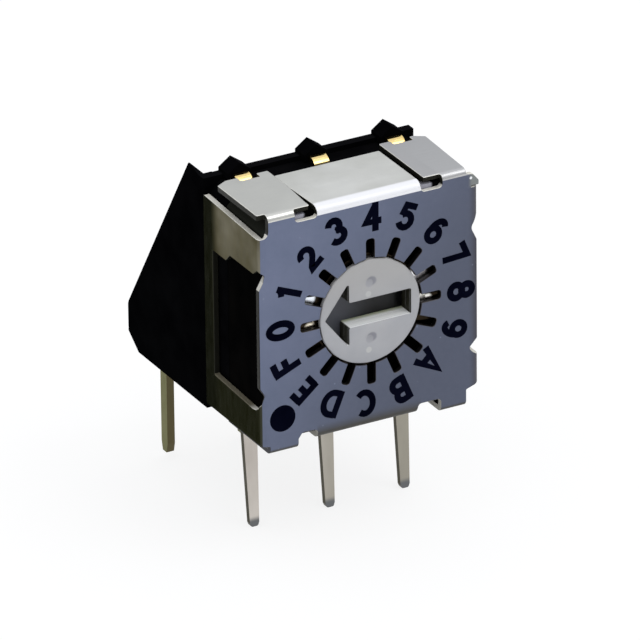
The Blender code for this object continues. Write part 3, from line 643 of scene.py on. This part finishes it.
def arc(radius, start, end, steps):
    angles = [start + (end - start) * step / steps for step in range(steps + 1)]
    return [Vector((radius * cos(angle), radius * sin(angle))) for angle in angles]


def circle(radius, centre=(0, 0), steps=96):
    return [point + Vector(centre) for point in arc(radius, 0, 2 * pi, steps)[:-1]]


square = rounded([(0, 0, 0.1), (1, 0, 0.1), (1, 1, 0.1), (0, 1, 0.1)])
print("a rounded square has", len(square), "points")


# %% Sides, insets and areas
def area(line):
    return sum(a.x * b.y - a.y * b.x for a, b in zip(line, line[1:] + line[:1])) / 2


def inset(line, distance):
    """The outline moved towards its left side."""
    moved = []
    for index, here in enumerate(line):
        behind = (here - line[index - 1]).normalized()
        ahead = (line[(index + 1) % len(line)] - here).normalized()
        normal = Vector((-behind.y - ahead.y, behind.x + ahead.x)).normalized()
        moved.append(here + normal * distance / max(0.5, normal.dot(Vector((-ahead.y, ahead.x)))))
    return moved


def contains(outlines, point):
    """Whether a point lies in the material between an outline and its holes."""
    crossings = 0
    for line in outlines:
        for a, b in zip(line, line[1:] + line[:1]):
            if (a.y > point.y) == (b.y > point.y):
                continue
            crossing = a.x + (point.y - a.y) / (b.y - a.y) * (b.x - a.x)
            if point.x < crossing:
                crossings += 1
    return crossings % 2 == 1


print("it covers", round(area(square), 3), "and holds its middle:", contains([square], Vector((0.5, 0.5))))

# %% [markdown]
# ## Flat plates with soft edges
#
# A stamped sheet is never perfectly sharp. `plate` takes an outline with holes, gives it a
# thickness, and rounds every cut edge with a few narrow rings. Each ring is the outline moved a
# little inwards, so the rounding follows every slot. A constrained triangulation fills the two
# flat sides, which never fails on a plate with many holes.


# %% Plates
def stored(shape, name):
    """A mesh from a working shape, which isn't needed any more."""
    mesh = bpy.data.meshes.new(name)
    shape.to_mesh(mesh)
    shape.free()
    return mesh


def plate(outlines, thickness, rounding=0.02, steps=2):
    """A mesh, in millimetres, of outlines in its XY plane, with its thickness centred on that plane."""
    lines = []
    for number, line in enumerate(outlines):
        line = [Vector(point) for point in line]
        if (area(line) > 0) == (number > 0):
            line.reverse()
        lines.append(line)
    angles = [pi / 2 * step / steps for step in range(steps, -1, -1)]
    levels = [(rounding * (1 - cos(a)), thickness / 2 - rounding * (1 - sin(a))) for a in angles]
    levels += [(edge, -height) for edge, height in levels[::-1]]
    shape = bmesh.new()
    rims = ([], [])
    for line in lines:
        rings = []
        for edge, height in levels:
            rings.append([shape.verts.new((*point, height)) for point in inset(line, edge)])
        for first, second in zip(rings, rings[1:]):
            for here in range(len(line)):
                after = (here + 1) % len(line)
                shape.faces.new((first[here], second[here], second[after], first[after]))
        rims[0].extend(rings[0])
        rims[1].extend(rings[-1])
    fill_flats(shape, [inset(line, rounding) for line in lines], rims)
    return stored(shape, "plate")


def fill_flats(shape, flat, rims):
    """Both flat sides of a plate, between the vertices of its front and its rear rims."""
    points = [point for line in flat for point in line]
    edges = []
    for line in flat:
        first = len(edges)
        edges += [(first + here, first + (here + 1) % len(line)) for here in range(len(line))]
    found = delaunay_2d_cdt(points, edges, [], 0, 1e-6)
    for corners in found[2]:
        source = [found[3][corner] for corner in corners]
        middle = sum((found[0][corner] for corner in corners), Vector((0, 0))) / 3
        if all(source) and contains(flat, middle):
            shape.faces.new([rims[0][indices[0]] for indices in source])
            shape.faces.new([rims[1][indices[0]] for indices in source[::-1]])


sample = plate([square], 0.1)
print("a sample plate has", len(sample.polygons), "faces")
bpy.data.meshes.remove(sample)

# %% [markdown]
# ## From parts to a piece
#
# `gather` joins the parts of one piece, turns millimetres into metres, and shades it smoothly
# with sharp edges where the surface really turns a corner. Then the piece rides on its body, so
# that the dial's pieces will turn with the dial. `DIAL` lays a plate on the face: its X runs
# across, its Y up, and its Z out towards the viewer.


# %% From parts to a piece
def axes(across, up, out, origin):
    """The matrix that lays a mesh's X, Y and Z along three directions, from an origin."""
    turn = Matrix((Vector(across), Vector(up), Vector(out))).transposed().to_4x4()
    return Matrix.Translation(Vector(origin)) @ turn


def gather(name, parts, materials, body="switch_body", crease=38):
    """One smooth-shaded piece, in metres, from (mesh, matrix) parts in millimetres."""
    shape = bmesh.new()
    for mesh, matrix in parts:
        mesh.transform(matrix)
        shape.from_mesh(mesh)
        bpy.data.meshes.remove(mesh)
    bmesh.ops.remove_doubles(shape, verts=shape.verts, dist=0.0002)
    bmesh.ops.recalc_face_normals(shape, faces=shape.faces)
    bmesh.ops.scale(shape, vec=(MM, MM, MM), verts=shape.verts)
    made_mesh = stored(shape, name)
    for material in materials:
        made_mesh.materials.append(material)
    made_mesh.shade_smooth()
    made_mesh.set_sharp_from_angle(angle=radians(crease))
    made = bpy.data.objects.new(name, made_mesh)
    bpy.context.scene.collection.objects.link(made)
    weighted = made.modifiers.new("even shading", "WEIGHTED_NORMAL")
    weighted.keep_sharp = True
    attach(made, body)
    print(name, "has", len(made_mesh.polygons), "faces")
    return made


FACE = axes(RIGHT, UP, FRONT, (0, dial_y, 0))
DIAL = axes(RIGHT, UP, FRONT, (0, dial_y, dial_z))
print("the dial's frame stands at", [round(part, 2) for part in DIAL.translation])

# %% [markdown]
# ## The dial's opening
#
# The round hole for the knob has sixteen open slots in its rim, one at each position. One slot is
# drawn to the right, and then turned by a sixteenth of a circle for each of the others, with an
# arc of the hole's own rim in between.

# %% The dial's opening
hole_radius, slot_width, slot_reach, slot_corner = 1.70, 0.28, 2.33, 0.09
positions = 16
step_angle = 2 * pi / positions


def dial_opening(centre):
    """The round hole with its open slots."""
    mouth = sqrt(hole_radius**2 - slot_width**2 / 4)
    edge = atan2(slot_width / 2, mouth)
    half = slot_width / 2
    tip = [(slot_reach, -half, slot_corner), (slot_reach, half, slot_corner)]
    slot = rounded([(0, -half), *tip, (0, half)], 4)[1:-1]
    slot = [Vector((mouth, -half)), *slot, Vector((mouth, half))]
    outline = []
    for position in range(positions):
        angle = position * step_angle
        outline += [turned(point, angle) + centre for point in slot]
        land = arc(hole_radius, angle + edge, angle + step_angle - edge, 4)
        outline += [point + centre for point in land[1:-1]]
    return outline


opening = dial_opening(Vector((0, dial_z)))
print("the dial's opening has", len(opening), "points")

# %% [markdown]
# ## The cover's flat pattern
#
# The real cover is stamped flat and then folded, so it is made that way here too. The pattern
# below is the sheet before folding: `u` runs across the face and `v` up it, and every notch,
# relief and slit between the tabs is a corner of one outline. A depth behind the face becomes a
# length on the sheet by adding the middle line of the bend.

# %% Depths on the flat sheet
side_bend, middle_bend, corner_bend = 0.22, 0.27, 0.20
top_corner_rise, low_corner_drop = 0.07, 0.14
side_line = half_width - side_bend
top_middle, top_corner = cover_top - middle_bend, cover_top + top_corner_rise - corner_bend
low_middle, low_corner = cover_bottom + middle_bend, cover_bottom - low_corner_drop + corner_bend


def laid(depth, radius):
    """How far a depth behind the face lies beyond the fold's line on the flat sheet."""
    return (radius - sheet / 2) * pi / 2 + depth - radius


wall_end = side_line + laid(3.50, side_bend)
window_end = side_line + laid(2.95, side_bend)
step_start, step_end = side_line + laid(1.90, side_bend), side_line + laid(2.15, side_bend)
top_end, top_back = top_corner + laid(2.60, corner_bend), top_corner + laid(2.80, corner_bend)
top_middle_back = top_middle + laid(2.52, middle_bend)
notch_back, slit_end = top_corner + laid(2.56, corner_bend), top_corner + laid(1.50, corner_bend)
low_end, low_back = low_corner - laid(2.60, corner_bend), low_corner - laid(2.80, corner_bend)
low_middle_back = low_middle - laid(2.52, middle_bend)
print("the sheet was", round(2 * wall_end, 1), "by", round(top_back - low_back, 1), "mm before folding")

# %% [markdown]
# The outline runs round the sheet from the left wall's lower corner, against the clock. Each
# corner is a place across and up the sheet, and a radius. The corner tabs on top are notched
# where the gold ends of the terminals come through.

# %% The pattern's outline
lead_pitch, notch_half = 2.54, 0.32
notch_near, notch_far = lead_pitch - notch_half, lead_pitch + notch_half
ear_low = 6.98

bottom_edge = [
    (-wall_end, 0.17, 0.08), (-3.38, 0.17, 0.04), (-3.38, low_end, 0.08), (-3.03, low_back, 0.05),
    (-2.43, low_back, 0.05), (-2.43, 0.20, 0.05), (-2.30, 0.38, 0.12), (-1.80, 0.35, 0.12),
    (-1.80, low_middle_back, 0.05), (1.55, low_middle_back, 0.05), (1.55, 0.35, 0.12),
    (2.31, 0.35, 0.12), (2.31, low_back, 0.05), (2.80, low_back, 0.05), (3.17, low_end, 0.08),
    (3.17, 0.43, 0.04), (3.55, 0.56, 0.12), (wall_end, 0.50, 0.08),
]
right_wall_and_ear = [
    (wall_end, 6.94, 0.08), (half_width - 0.25, 6.94, 0.01), (half_width - 0.25, ear_low, 0.01),
    (half_width, ear_low, 0.03), (half_width, 7.13, 0.09), (3.42, 7.36, 0.09), (3.20, 7.40, 0.02),
]
right_tab_edge = [
    (3.30, top_end, 0.08), (2.98, top_back, 0.05), (notch_far, top_back, 0.04),
    (notch_far, notch_back, 0.05), (notch_near, notch_back, 0.05), (notch_near, top_back, 0.04),
    (1.84, top_back, 0.05), (1.84, 7.49, 0.03), (2.40, 7.49, 0.05), (2.40, 7.17, 0.12), (1.70, 7.17, 0.12),
]
middle_tab_edge = [
    (1.70, top_middle_back, 0.05), (-1.79, top_middle_back, 0.05), (-1.79, slit_end, 0.3),
    (-1.74, 7.60, 0.1), (-1.74, 7.17, 0.12),
]
left_tab_edge = [
    (-2.47, 7.17, 0.12), (-2.47, 7.49, 0.05), (-1.93, 7.49, 0.04), (-1.93, 7.70, 0.1),
    (-1.85, slit_end, 0.3), (-1.85, top_back, 0.05), (-notch_near, top_back, 0.04),
    (-notch_near, notch_back, 0.05), (-notch_far, notch_back, 0.05), (-notch_far, top_back, 0.04),
    (-3.25, top_back, 0.05), (-3.61, top_end, 0.08), (-3.61, 7.56, 0.05), (-3.36, 7.56, 0.04),
    (-3.36, 6.79, 0.28), (-wall_end, 6.94, 0.10),
]
pattern = bottom_edge + right_wall_and_ear + right_tab_edge + middle_tab_edge + left_tab_edge
print("the pattern has", len(pattern), "corners")

# %% [markdown]
# Each side wall has a window, stamped before the sheet was folded. It reaches round the fold into
# the face, so a strip of the face beside it has a free edge.

# %% The windows
left_window = [
    (-window_end, 1.33, 0.06), (-window_end, 5.35, 0.06), (-step_end, 5.35, 0.08), (-step_start, 5.60, 0.08),
    (-3.86, 5.60, 0.15), (-3.60, 5.80, 0.08), (-3.46, 5.70, 0.05), (-3.55, 5.50, 0.05),
    (-3.69, 5.25, 0.06), (-3.69, 2.10, 0.08), (-3.505, 1.80, 0.06), (-3.50, 1.20, 0.48),
]
right_window = [
    (window_end, 1.50, 0.06), (window_end, 5.77, 0.06), (step_end, 5.77, 0.08), (step_start, 6.02, 0.08),
    (3.52, 6.02, 0.08), (3.36, 5.62, 0.20), (3.54, 5.24, 0.12), (3.54, 2.04, 0.08),
    (3.27, 1.76, 0.08), (3.50, 1.50, 0.05),
]
outlines = [rounded(pattern, 4), opening, rounded(left_window, 4), rounded(right_window, 4)]
print("outlines have", [len(line) for line in outlines], "points")

# %% [markdown]
# ## Folding it
#
# Every point of the sheet knows which fold it lies beyond: a side, a corner tab or a middle tab.
# `bent` rolls it round that fold. The two free edges of the face, beside the windows, stay flat,
# and the roll fades out over the short necks that join them to the side tabs.

# %% Which fold a point lies beyond
necks = {-1: ((1.68, 1.95), (5.48, 5.78)), 1: ((1.74, 1.80), (5.60, 5.68))}
always_rolled = 3.75
top_middle_span, low_middle_span = (-1.82, 1.77), (-1.83, 1.62)
face_high, face_low, ear_level, tab_level = 7.0, 1.0, 6.96, 7.5


def smooth_step(value, start, end):
    t = min(1, max(0, (value - start) / (end - start)))
    return t * t * (3 - 2 * t)


def side_roll(u, v):
    """How much of the side's fold is made at a point: none at the face's free edge, all elsewhere."""
    (a, b), (c, d) = necks[1 if u > 0 else -1]
    if abs(u) > always_rolled:
        return 1
    return max(1 - smooth_step(v, a, b), smooth_step(v, c, d))


def fold_of(u, v):
    """The fold that a point lies beyond, as (word, line, radius), or None on the flat face."""
    if v > face_high and top_middle_span[0] < u < top_middle_span[1]:
        return ("top", top_middle, middle_bend) if v > top_middle else None
    if v > top_corner and (abs(u) < side_line or v > tab_level):
        return "top", top_corner, corner_bend
    if v < face_low and low_middle_span[0] < u < low_middle_span[1]:
        return ("bottom", low_middle, middle_bend) if v < low_middle else None
    if v < low_corner and abs(u) < side_line:
        return "bottom", low_corner, corner_bend
    if abs(u) > side_line and (u < 0 or v < ear_level):
        return "side", side_line, side_bend
    return None


print("the middle of the top tab lies beyond the fold", fold_of(0, top_middle + 1))


# %% Bending
def bent(beyond, offset, radius, roll=1.0):
    """The (reach, depth) of a point beyond a fold's line, offset in front of the sheet's middle."""
    if roll < 0.001:
        return beyond, sheet / 2 - offset
    middle = radius - sheet / 2
    curved = min(beyond, middle * pi / 2)
    angle = roll * curved / middle
    straight = beyond - curved
    reach = middle / roll * sin(angle) + straight * cos(angle) + offset * sin(angle)
    depth = sheet / 2 + middle / roll * (1 - cos(angle)) + straight * sin(angle) - offset * cos(angle)
    return reach, depth


def folded(point):
    u, v, offset = point
    fold = fold_of(u, v)
    if fold is None:
        return Vector((u, dial_y + sheet / 2 - offset, v))
    word, line, radius = fold
    if word == "side":
        side = 1 if u > 0 else -1
        reach, depth = bent(abs(u) - line, offset, radius, side_roll(u, v))
        return Vector((side * (line + reach), dial_y + depth, v))
    up = 1 if word == "top" else -1
    reach, depth = bent(up * (v - line), offset, radius)
    return Vector((u, dial_y + depth, line + up * reach))


print("the left wall's rear edge folds to", [round(part, 2) for part in folded((-wall_end, 1, 0))])

# %% [markdown]
# ## Finishes on the sheet
#
# The sheet was painted before it was stamped and folded. So the paint ends a little way round
# each fold, the tabs on top are bare, and every cut edge is bare metal. The edges of the slots
# are darker than the others, because they lie in the shade of the dial.

# %% Finishes on the sheet
finishes = [face_paint, tin_plate, wall_tin, cut_edge, slot_edge]
painted_share = 0.62
slots_end = 2.6


def surface_of(u, v, flat, front):
    """The place in the list of finishes of a face of the sheet."""
    if not flat:
        edge = slot_edge if Vector((u, v - dial_z)).length < slots_end else cut_edge
        return finishes.index(edge)
    fold = fold_of(u, v)
    if not front:
        return finishes.index(wall_tin)
    if fold is None:
        return finishes.index(face_paint)
    word, line, radius = fold
    if word == "top":
        return finishes.index(tin_plate)
    painted = (radius - sheet / 2) * pi / 2 * painted_share
    beyond = abs(u) - line if word == "side" else line - v
    free_edge = word == "side" and side_roll(u, v) < 0.5
    return finishes.index(face_paint if beyond < painted or free_edge else wall_tin)


print("the dial's rim has the finish", finishes[surface_of(hole_radius, dial_z, False, False)].name)

# %% [markdown]
# ## The folded cover
#
# Before folding, the mesh is cut along lines in each bend and each neck, so that the bend comes
# out round. The cover's edges count as sharp from a small angle on, because its large flat faces
# would otherwise be shaded as if they were bulged next to a narrow bend.

# %% The folded cover
fold_steps, neck_steps = 8, 4
u_axis, v_axis = (1, 0, 0), (0, 1, 0)
folds = (
    (v_axis, 1, top_middle, middle_bend),
    (v_axis, 1, top_corner, corner_bend),
    (v_axis, -1, low_middle, middle_bend),
    (v_axis, -1, low_corner, corner_bend),
    (u_axis, 1, side_line, side_bend),
    (u_axis, -1, -side_line, side_bend),
)
cuts = []
for axis, way, line, radius in folds:
    length = (radius - sheet / 2) * pi / 2
    cuts += [(axis, line + way * length * step / fold_steps) for step in range(fold_steps + 1)]
for start, end in necks[-1]:
    cuts += [(v_axis, start + (end - start) * step / neck_steps) for step in range(neck_steps + 1)]

sheet_mesh = plate(outlines, sheet, 0.022, 3)
shape = bmesh.new()
shape.from_mesh(sheet_mesh)
for axis, place in cuts:
    everything = shape.verts[:] + shape.edges[:] + shape.faces[:]
    bmesh.ops.bisect_plane(shape, geom=everything, dist=1e-5, plane_co=Vector(axis) * place, plane_no=axis)
for face in shape.faces:
    face.normal_update()
    middle = face.calc_center_median()
    flat = abs(face.normal.z) > 0.8
    face.material_index = surface_of(middle.x, middle.y, flat, face.normal.z > 0)
for vert in shape.verts:
    vert.co = folded(vert.co)
shape.to_mesh(sheet_mesh)
shape.free()
cover = gather("cover_sheet", [(sheet_mesh, Matrix())], finishes, crease=13)
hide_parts("metal_cover")

# %% [markdown]
# ## The signs
#
# The positions run clockwise from 0 on the left, as sixteen signs: 0 to 9 and then A to F, each
# with its top outwards. They are printed in a plain bold type, so each sign is a few strokes of
# one width, drawn as flat ribbons a few thousandths of a millimetre thick. Points are written in
# small units from the middle of the sign, each about a hundredth of a millimetre.

# %% The signs' strokes
stroke = 0.20
sign_unit = 0.0104
ink_depth = 0.006


def bow(u, v, wide, tall, start, end, steps=12):
    """Points round a part of an ellipse, from one angle in degrees to another."""
    angles = [radians(start + (end - start) * step / steps) for step in range(steps + 1)]
    return [(u + wide * cos(angle), v + tall * sin(angle)) for angle in angles]


SIGNS = {
    "0": [bow(0, 0, 19, 33, 0, 360, 28)],
    "1": [[(-14, 20), (-4, 24), (5, 33)], [(5, 41.5), (5, -41.5)]],
    "2": [[*bow(0, 14, 19, 19, 175, -25), (10, -4), (-14, -25), (-18, -33), (25, -33)]],
    "3": [bow(-1, 16, 17, 17, 160, -90), bow(-1, -15, 20, 18, 90, -160)],
    "4": [[(9, 41.5), (9, -41.5)], [(9, 34), (-20, -13), (27, -13)]],
    "5": [[(22, 33), (-13, 33), (-17, 1)], bow(-1, -12, 20, 21, 138, -155)],
    "6": [bow(0, -13, 19, 20, 0, 360, 24), bow(1, 0, 20, 33, 52, 190)],
    "7": [[(-25, 33), (20, 33), (-6, -41.5)]],
    "8": [bow(0, 17, 16, 16, 0, 360, 24), bow(0, -15, 19, 18, 0, 360, 24)],
    "9": [bow(0, 13, 19, 20, 0, 360, 24), bow(-1, 0, 20, 33, 232, 370)],
    "A": [[(-23, -41.5), (0, 36), (23, -41.5)], [(-15, -15), (15, -15)]],
    "B": [
        [(-17, 41.5), (-17, -41.5)],
        [(-17, 33), *bow(2, 17, 15, 16, 90, -90), (-17, 1)],
        [(-17, 1), *bow(3, -16, 17, 17, 90, -90), (-17, -33)],
    ],
    "C": [bow(2, 0, 26, 33, 48, 312, 18)],
    "D": [[(-21, 41.5), (-21, -41.5)], [(-21, 33), *bow(-2, 0, 26, 33, 90, -90), (-21, -33)]],
    "E": [[(-15, 41.5), (-15, -41.5)], [(-15, 33), (22, 33)], [(-15, 1), (17, 1)], [(-15, -33), (22, -33)]],
    "F": [[(-15, 41.5), (-15, -41.5)], [(-15, 33), (22, 33)], [(-15, 0), (17, 0)]],
}
print("there are", len(SIGNS), "signs with", sum(len(lines) for lines in SIGNS.values()), "strokes")


# %% A stroke as a thin solid
def ribbon(shape, line, lift):
    """A flat stroke of even width along a line, as a thin solid in the XY plane."""
    points = [Vector(point) * sign_unit for point in line]
    closed = (points[0] - points[-1]).length < 0.001
    if closed:
        points.pop()
    rows = []
    for index, here in enumerate(points):
        behind = here - points[index - 1] if index or closed else points[1] - here
        last = index == len(points) - 1
        ahead = behind if last and not closed else points[(index + 1) % len(points)] - here
        way = (behind.normalized() + ahead.normalized()).normalized()
        across = Vector((-way.y, way.x)) * stroke / 2 / max(0.6, way.dot(ahead.normalized()))
        corners = (here + across, here - across)
        rows.append([shape.verts.new((*corner, height)) for height in (lift, 0) for corner in corners])
    pairs = list(zip(rows, rows[1:] + rows[:1])) if closed else list(zip(rows, rows[1:]))
    for (a, b, c, d), (e, f, g, h) in pairs:
        for corners in ((a, b, f, e), (c, g, h, d), (a, e, g, c), (b, d, h, f)):
            shape.faces.new(corners)
    if not closed:
        shape.faces.new((rows[0][0], rows[0][2], rows[0][3], rows[0][1]))
        shape.faces.new((rows[-1][0], rows[-1][1], rows[-1][3], rows[-1][2]))


def sign_mesh(lines):
    """One sign. Each further stroke lies a little higher, so that no two surfaces coincide."""
    shape = bmesh.new()
    for number, line in enumerate(lines):
        ribbon(shape, line, ink_depth + 0.001 * number)
    return stored(shape, "sign")


print("a stroke is", stroke, "mm wide and", ink_depth, "mm thick")

# %% [markdown]
# ## The print
#
# The signs stand on one circle round the dial. The printing pad does not land quite true, so the
# table gives each sign a small shift across and up the face in hundredths of a millimetre, a turn
# in degrees, and a size. The index dot is a flat disc of the same ink.

# %% The print and the index dot
digit_circle = 2.97
dot_radius, dot_place = 0.42, (-2.96, 1.00)

PRINT = {
    "0": (-3, 10, 0, 1.08), "1": (3, 9, 0, 1.0), "2": (8, 9, 0, 1.0), "3": (1, 10, 0, 1.06),
    "4": (7, 4, 0, 1.06), "5": (7, 2, -2, 1.0), "6": (8, -3, -4, 1.0), "7": (7, 2, 0, 1.0),
    "8": (3, -4, 0, 1.06), "9": (3, -7, 3, 1.0), "A": (-15, -2, 0, 1.08), "B": (-17, -3, 0, 1.03),
    "C": (-22, 6, 6, 1.0), "D": (-21, 9, 0, 1.0), "E": (-15, 9, -5, 1.0), "F": (-10, 9, 0, 1.06),
}

parts = []
for position, (sign, lines) in enumerate(SIGNS.items()):
    across, up, turn, size = PRINT[sign]
    shifted = Matrix.Translation((across / 100, up / 100, 0))
    on_circle = Matrix.Rotation(pi - position * step_angle, 4, "Z") @ Matrix.Translation((digit_circle, 0, 0))
    upright = Matrix.Rotation(radians(turn) - pi / 2, 4, "Z")
    place = DIAL @ shifted @ on_circle @ upright @ Matrix.Diagonal((size, size, 1, 1))
    parts.append((sign_mesh(lines), place))
digits = gather("dial_digits", parts, [digit_ink])

dot = plate([circle(dot_radius, dot_place, 48)], 2 * ink_depth, 0.003)
index_dot = gather("index_dot", [(dot, FACE)], [digit_ink])

# %% [markdown]
# ## The knob's finishes
#
# The knob is moulded in an off-white plastic. `knob_ivory` is its front, with painted shade in
# each dimple and a painted highlight under it. It also paints the floor of the arrow's slot dark,
# darker to the right, as painted shade. `slot_ivory` is for the slot's walls: the lower one is
# painted pale as the lit wall, paler at the front, and the right one nearly black as painted shade.

# %% The knob's finishes
dimple_offset = 0.90
knob_ivory, tree, shader, tone = new_finish(
    "knob_ivory", (0.42, 0.425, 0.445), (0.49, 0.49, 0.50), (0.40, 0.52),
    relief=2.5, specular=0.4,
)
tone = between(tree, reaching(tree, UP, dial_z - 0.5, dial_z + 1.6), tone, (0.46, 0.452, 0.442))
# each dimple: painted shade, darker at its upper right, and a painted highlight below it
for side in (-1, 1):
    pit = dial_z + dimple_offset * side
    tone = between(tree, spot(tree, (0.06, dial_y + 0.08, pit + 0.05), 0.12), tone, (0.30, 0.30, 0.33))
    tone = between(tree, spot(tree, (-0.01, dial_y + 0.10, pit - 0.02), 0.10), tone, (0.40, 0.40, 0.42))
    tone = between(tree, spot(tree, (-0.06, dial_y + 0.04, pit - 0.34), 0.075), tone, (0.55, 0.55, 0.54))
# painted shade on the slot's floor, darker to the right
deep = product(tree, reaching(tree, REAR, dial_y + 0.45, dial_y + 0.60), looking(tree, FRONT, 0.6, 0.9))
shade = between(tree, reaching(tree, RIGHT, -1.0, 0.5), (0.070, 0.073, 0.088), (0.002, 0.002, 0.003))
tree.links.new(between(tree, deep, tone, shade), shader.inputs["Base Color"])

slot_ivory, tree, shader, tone = new_finish(
    "slot_ivory", (0.30, 0.30, 0.28), (0.36, 0.36, 0.34), (0.40, 0.52),
    relief=2.5, specular=0.3,
)
depth = reaching(tree, REAR, dial_y + 0.38, dial_y + 0.60)
# painted light on the lower wall, paler at the front; painted shade on the right wall
lit = between(tree, depth, (0.98, 0.99, 0.97), (0.60, 0.64, 0.44))
tone = between(tree, looking(tree, UP, 0.3, 0.9), tone, lit)
tone = between(tree, looking(tree, LEFT, 0.2, 0.7), tone, (0.020, 0.019, 0.012))
tree.links.new(tone, shader.inputs["Base Color"])
print("knob finishes:", knob_ivory.name, "and", slot_ivory.name)

# %% [markdown]
# ## The knob's front
#
# The rim and the lips of the slot are softly rounded. The front is three thick plates with the
# same arrow-shaped hole: the head, the neck that carries the spring, and the shank. The plates
# overlap a little in depth, so each deeper one has a hole that is a hair smaller. Otherwise the
# walls of two plates would lie in one plane and flicker.

# %% The knob's front
knob_radius, neck_radius, shank_radius = 1.655, 1.53, 1.645
arrow_tip, arrow_neck, arrow_end, arrow_half = -1.49, -0.70, 1.36, 0.40
dimple_hole, dimple_zone = 0.20, 0.3
hole_step = 0.004
arrow = [
    (arrow_tip, 0, 0.05),
    (arrow_neck, -1.02, 0.04),
    (arrow_neck, -arrow_half, 0.06),
    (arrow_end, -arrow_half, 0.05),
    (arrow_end, arrow_half, 0.05),
    (arrow_neck, arrow_half, 0.06),
    (arrow_neck, 1.05, 0.04),
]
dimple_holes = [circle(dimple_hole, (0, side * dimple_offset), 40) for side in (-1, 1)]
layers = (
    (knob_radius, 0.04, 0.20, 0.035, dimple_holes),
    (neck_radius, 0.12, 0.44, 0.01, []),
    (shank_radius, 0.36, 0.63, 0.02, []),
)


def slot_wall(face):
    """Whether a face of a plate belongs to the arrow's slot, and not to the rim or a dimple."""
    x, y = face.center.xy
    dimple = abs(x) < dimple_zone and abs(abs(y) - dimple_offset) < dimple_zone
    return abs(face.normal.z) < 0.6 and face.center.xy.length < -arrow_tip + 0.02 and not dimple


parts = []
for number, (radius, front, back, rounding, holes) in enumerate(layers):
    hole = inset(rounded(arrow), hole_step * number)
    layer = plate([circle(radius), hole, *holes], back - front, rounding, 3)
    for face in layer.polygons:
        if slot_wall(face):
            face.material_index = 1
    parts.append((layer, DIAL @ Matrix.Translation((0, 0, -(front + back) / 2))))
print("the knob's front has", len(parts), "plates")

# %% [markdown]
# ## The dimples
#
# Two round dimples lie above and below the arrow. Each is a small bowl of rings that rise
# smoothly from its middle to its rim, and fills a round hole in the knob's head.

# %% The dimples
bowl_radius, bowl_floor, bowl_rise = 0.245, -0.125, 0.083
bowl_rings, bowl_points = 8, 40
for side in (-1, 1):
    bowl = bmesh.new()
    rings = []
    for step in range(1, bowl_rings + 1):
        reach = bowl_radius * step / bowl_rings
        level = bowl_floor + bowl_rise * smooth_step(reach, 0, bowl_radius)
        ring = circle(reach, (0, side * dimple_offset), bowl_points)
        rings.append([bowl.verts.new((*point, level)) for point in ring])
    centre = bowl.verts.new((0, side * dimple_offset, bowl_floor))
    for here in range(bowl_points):
        after = (here + 1) % bowl_points
        bowl.faces.new((centre, rings[0][here], rings[0][after]))
        for first, second in zip(rings, rings[1:]):
            bowl.faces.new((first[here], second[here], second[after], first[after]))
    parts.append((stored(bowl, "dimple"), DIAL))
print("the knob now has", len(parts), "parts")

# %% [markdown]
# ## The rest of the knob
#
# A disc makes the floor of the slot. What lies deeper, out of sight, is a copy of the solid from
# there on: the shank, the flange and the rear journal are already right.

# %% The rest of the knob
floor_thickness, floor_depth, cut_depth = 0.06, 0.64, 0.65
slot_floor = plate([circle(shank_radius)], floor_thickness, 0.01, 1)
parts.append((slot_floor, DIAL @ Matrix.Translation((0, 0, -floor_depth))))

shape = bmesh.new()
shape.from_mesh(nodes["rotor"].data)
bmesh.ops.scale(shape, vec=(1 / MM, 1 / MM, 1 / MM), verts=shape.verts)
bmesh.ops.bisect_plane(
    shape,
    geom=shape.verts[:] + shape.edges[:] + shape.faces[:],
    dist=1e-5,
    plane_co=(0, dial_y + cut_depth, 0),
    plane_no=FRONT,
    clear_outer=True,
)
parts.append((stored(shape, "rotor_rear"), Matrix()))
knob = gather("knob", parts, [knob_ivory, slot_ivory], body="dial")
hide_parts("rotor")

# %% [markdown]
# ## The pieces that are already right
#
# The pins, terminals, bracket and everything inside keep their solids, and only get their finish.

# %% Finishes for the carried-over pieces
kept = {
    "housing": housing_black,
    "contact_base": base_black,
    "bracket": bracket_black,
    "detent_spring": spring_steel,
    "code_disc": gold_plate,
    "seal_ring": seal_rubber,
}
for column in ("left", "centre", "right"):
    kept[f"terminal_upper_{column}"] = gold_plate
    kept[f"terminal_lower_{column}"] = pin_tin
    kept[f"bracket_pin_{column}"] = pin_tin
for name, finish in kept.items():
    mesh = nodes[name].data
    mesh.materials.clear()
    mesh.materials.append(finish)
print("finished", len(kept), "carried-over pieces")

# %% [markdown]
# ## The size
#
# Both boxes are printed: the one of the solids, and the one of everything that is shown.
# Nothing above may make the object bigger than its solids.

# %% Both boxes, and the end
boxes = {"cad": [list(corner) for corner in cad_box], "visual": [list(corner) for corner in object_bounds()]}
for name, box in boxes.items():
    print(name, "box in mm:", [[round(part / MM, 2) for part in corner] for corner in box])
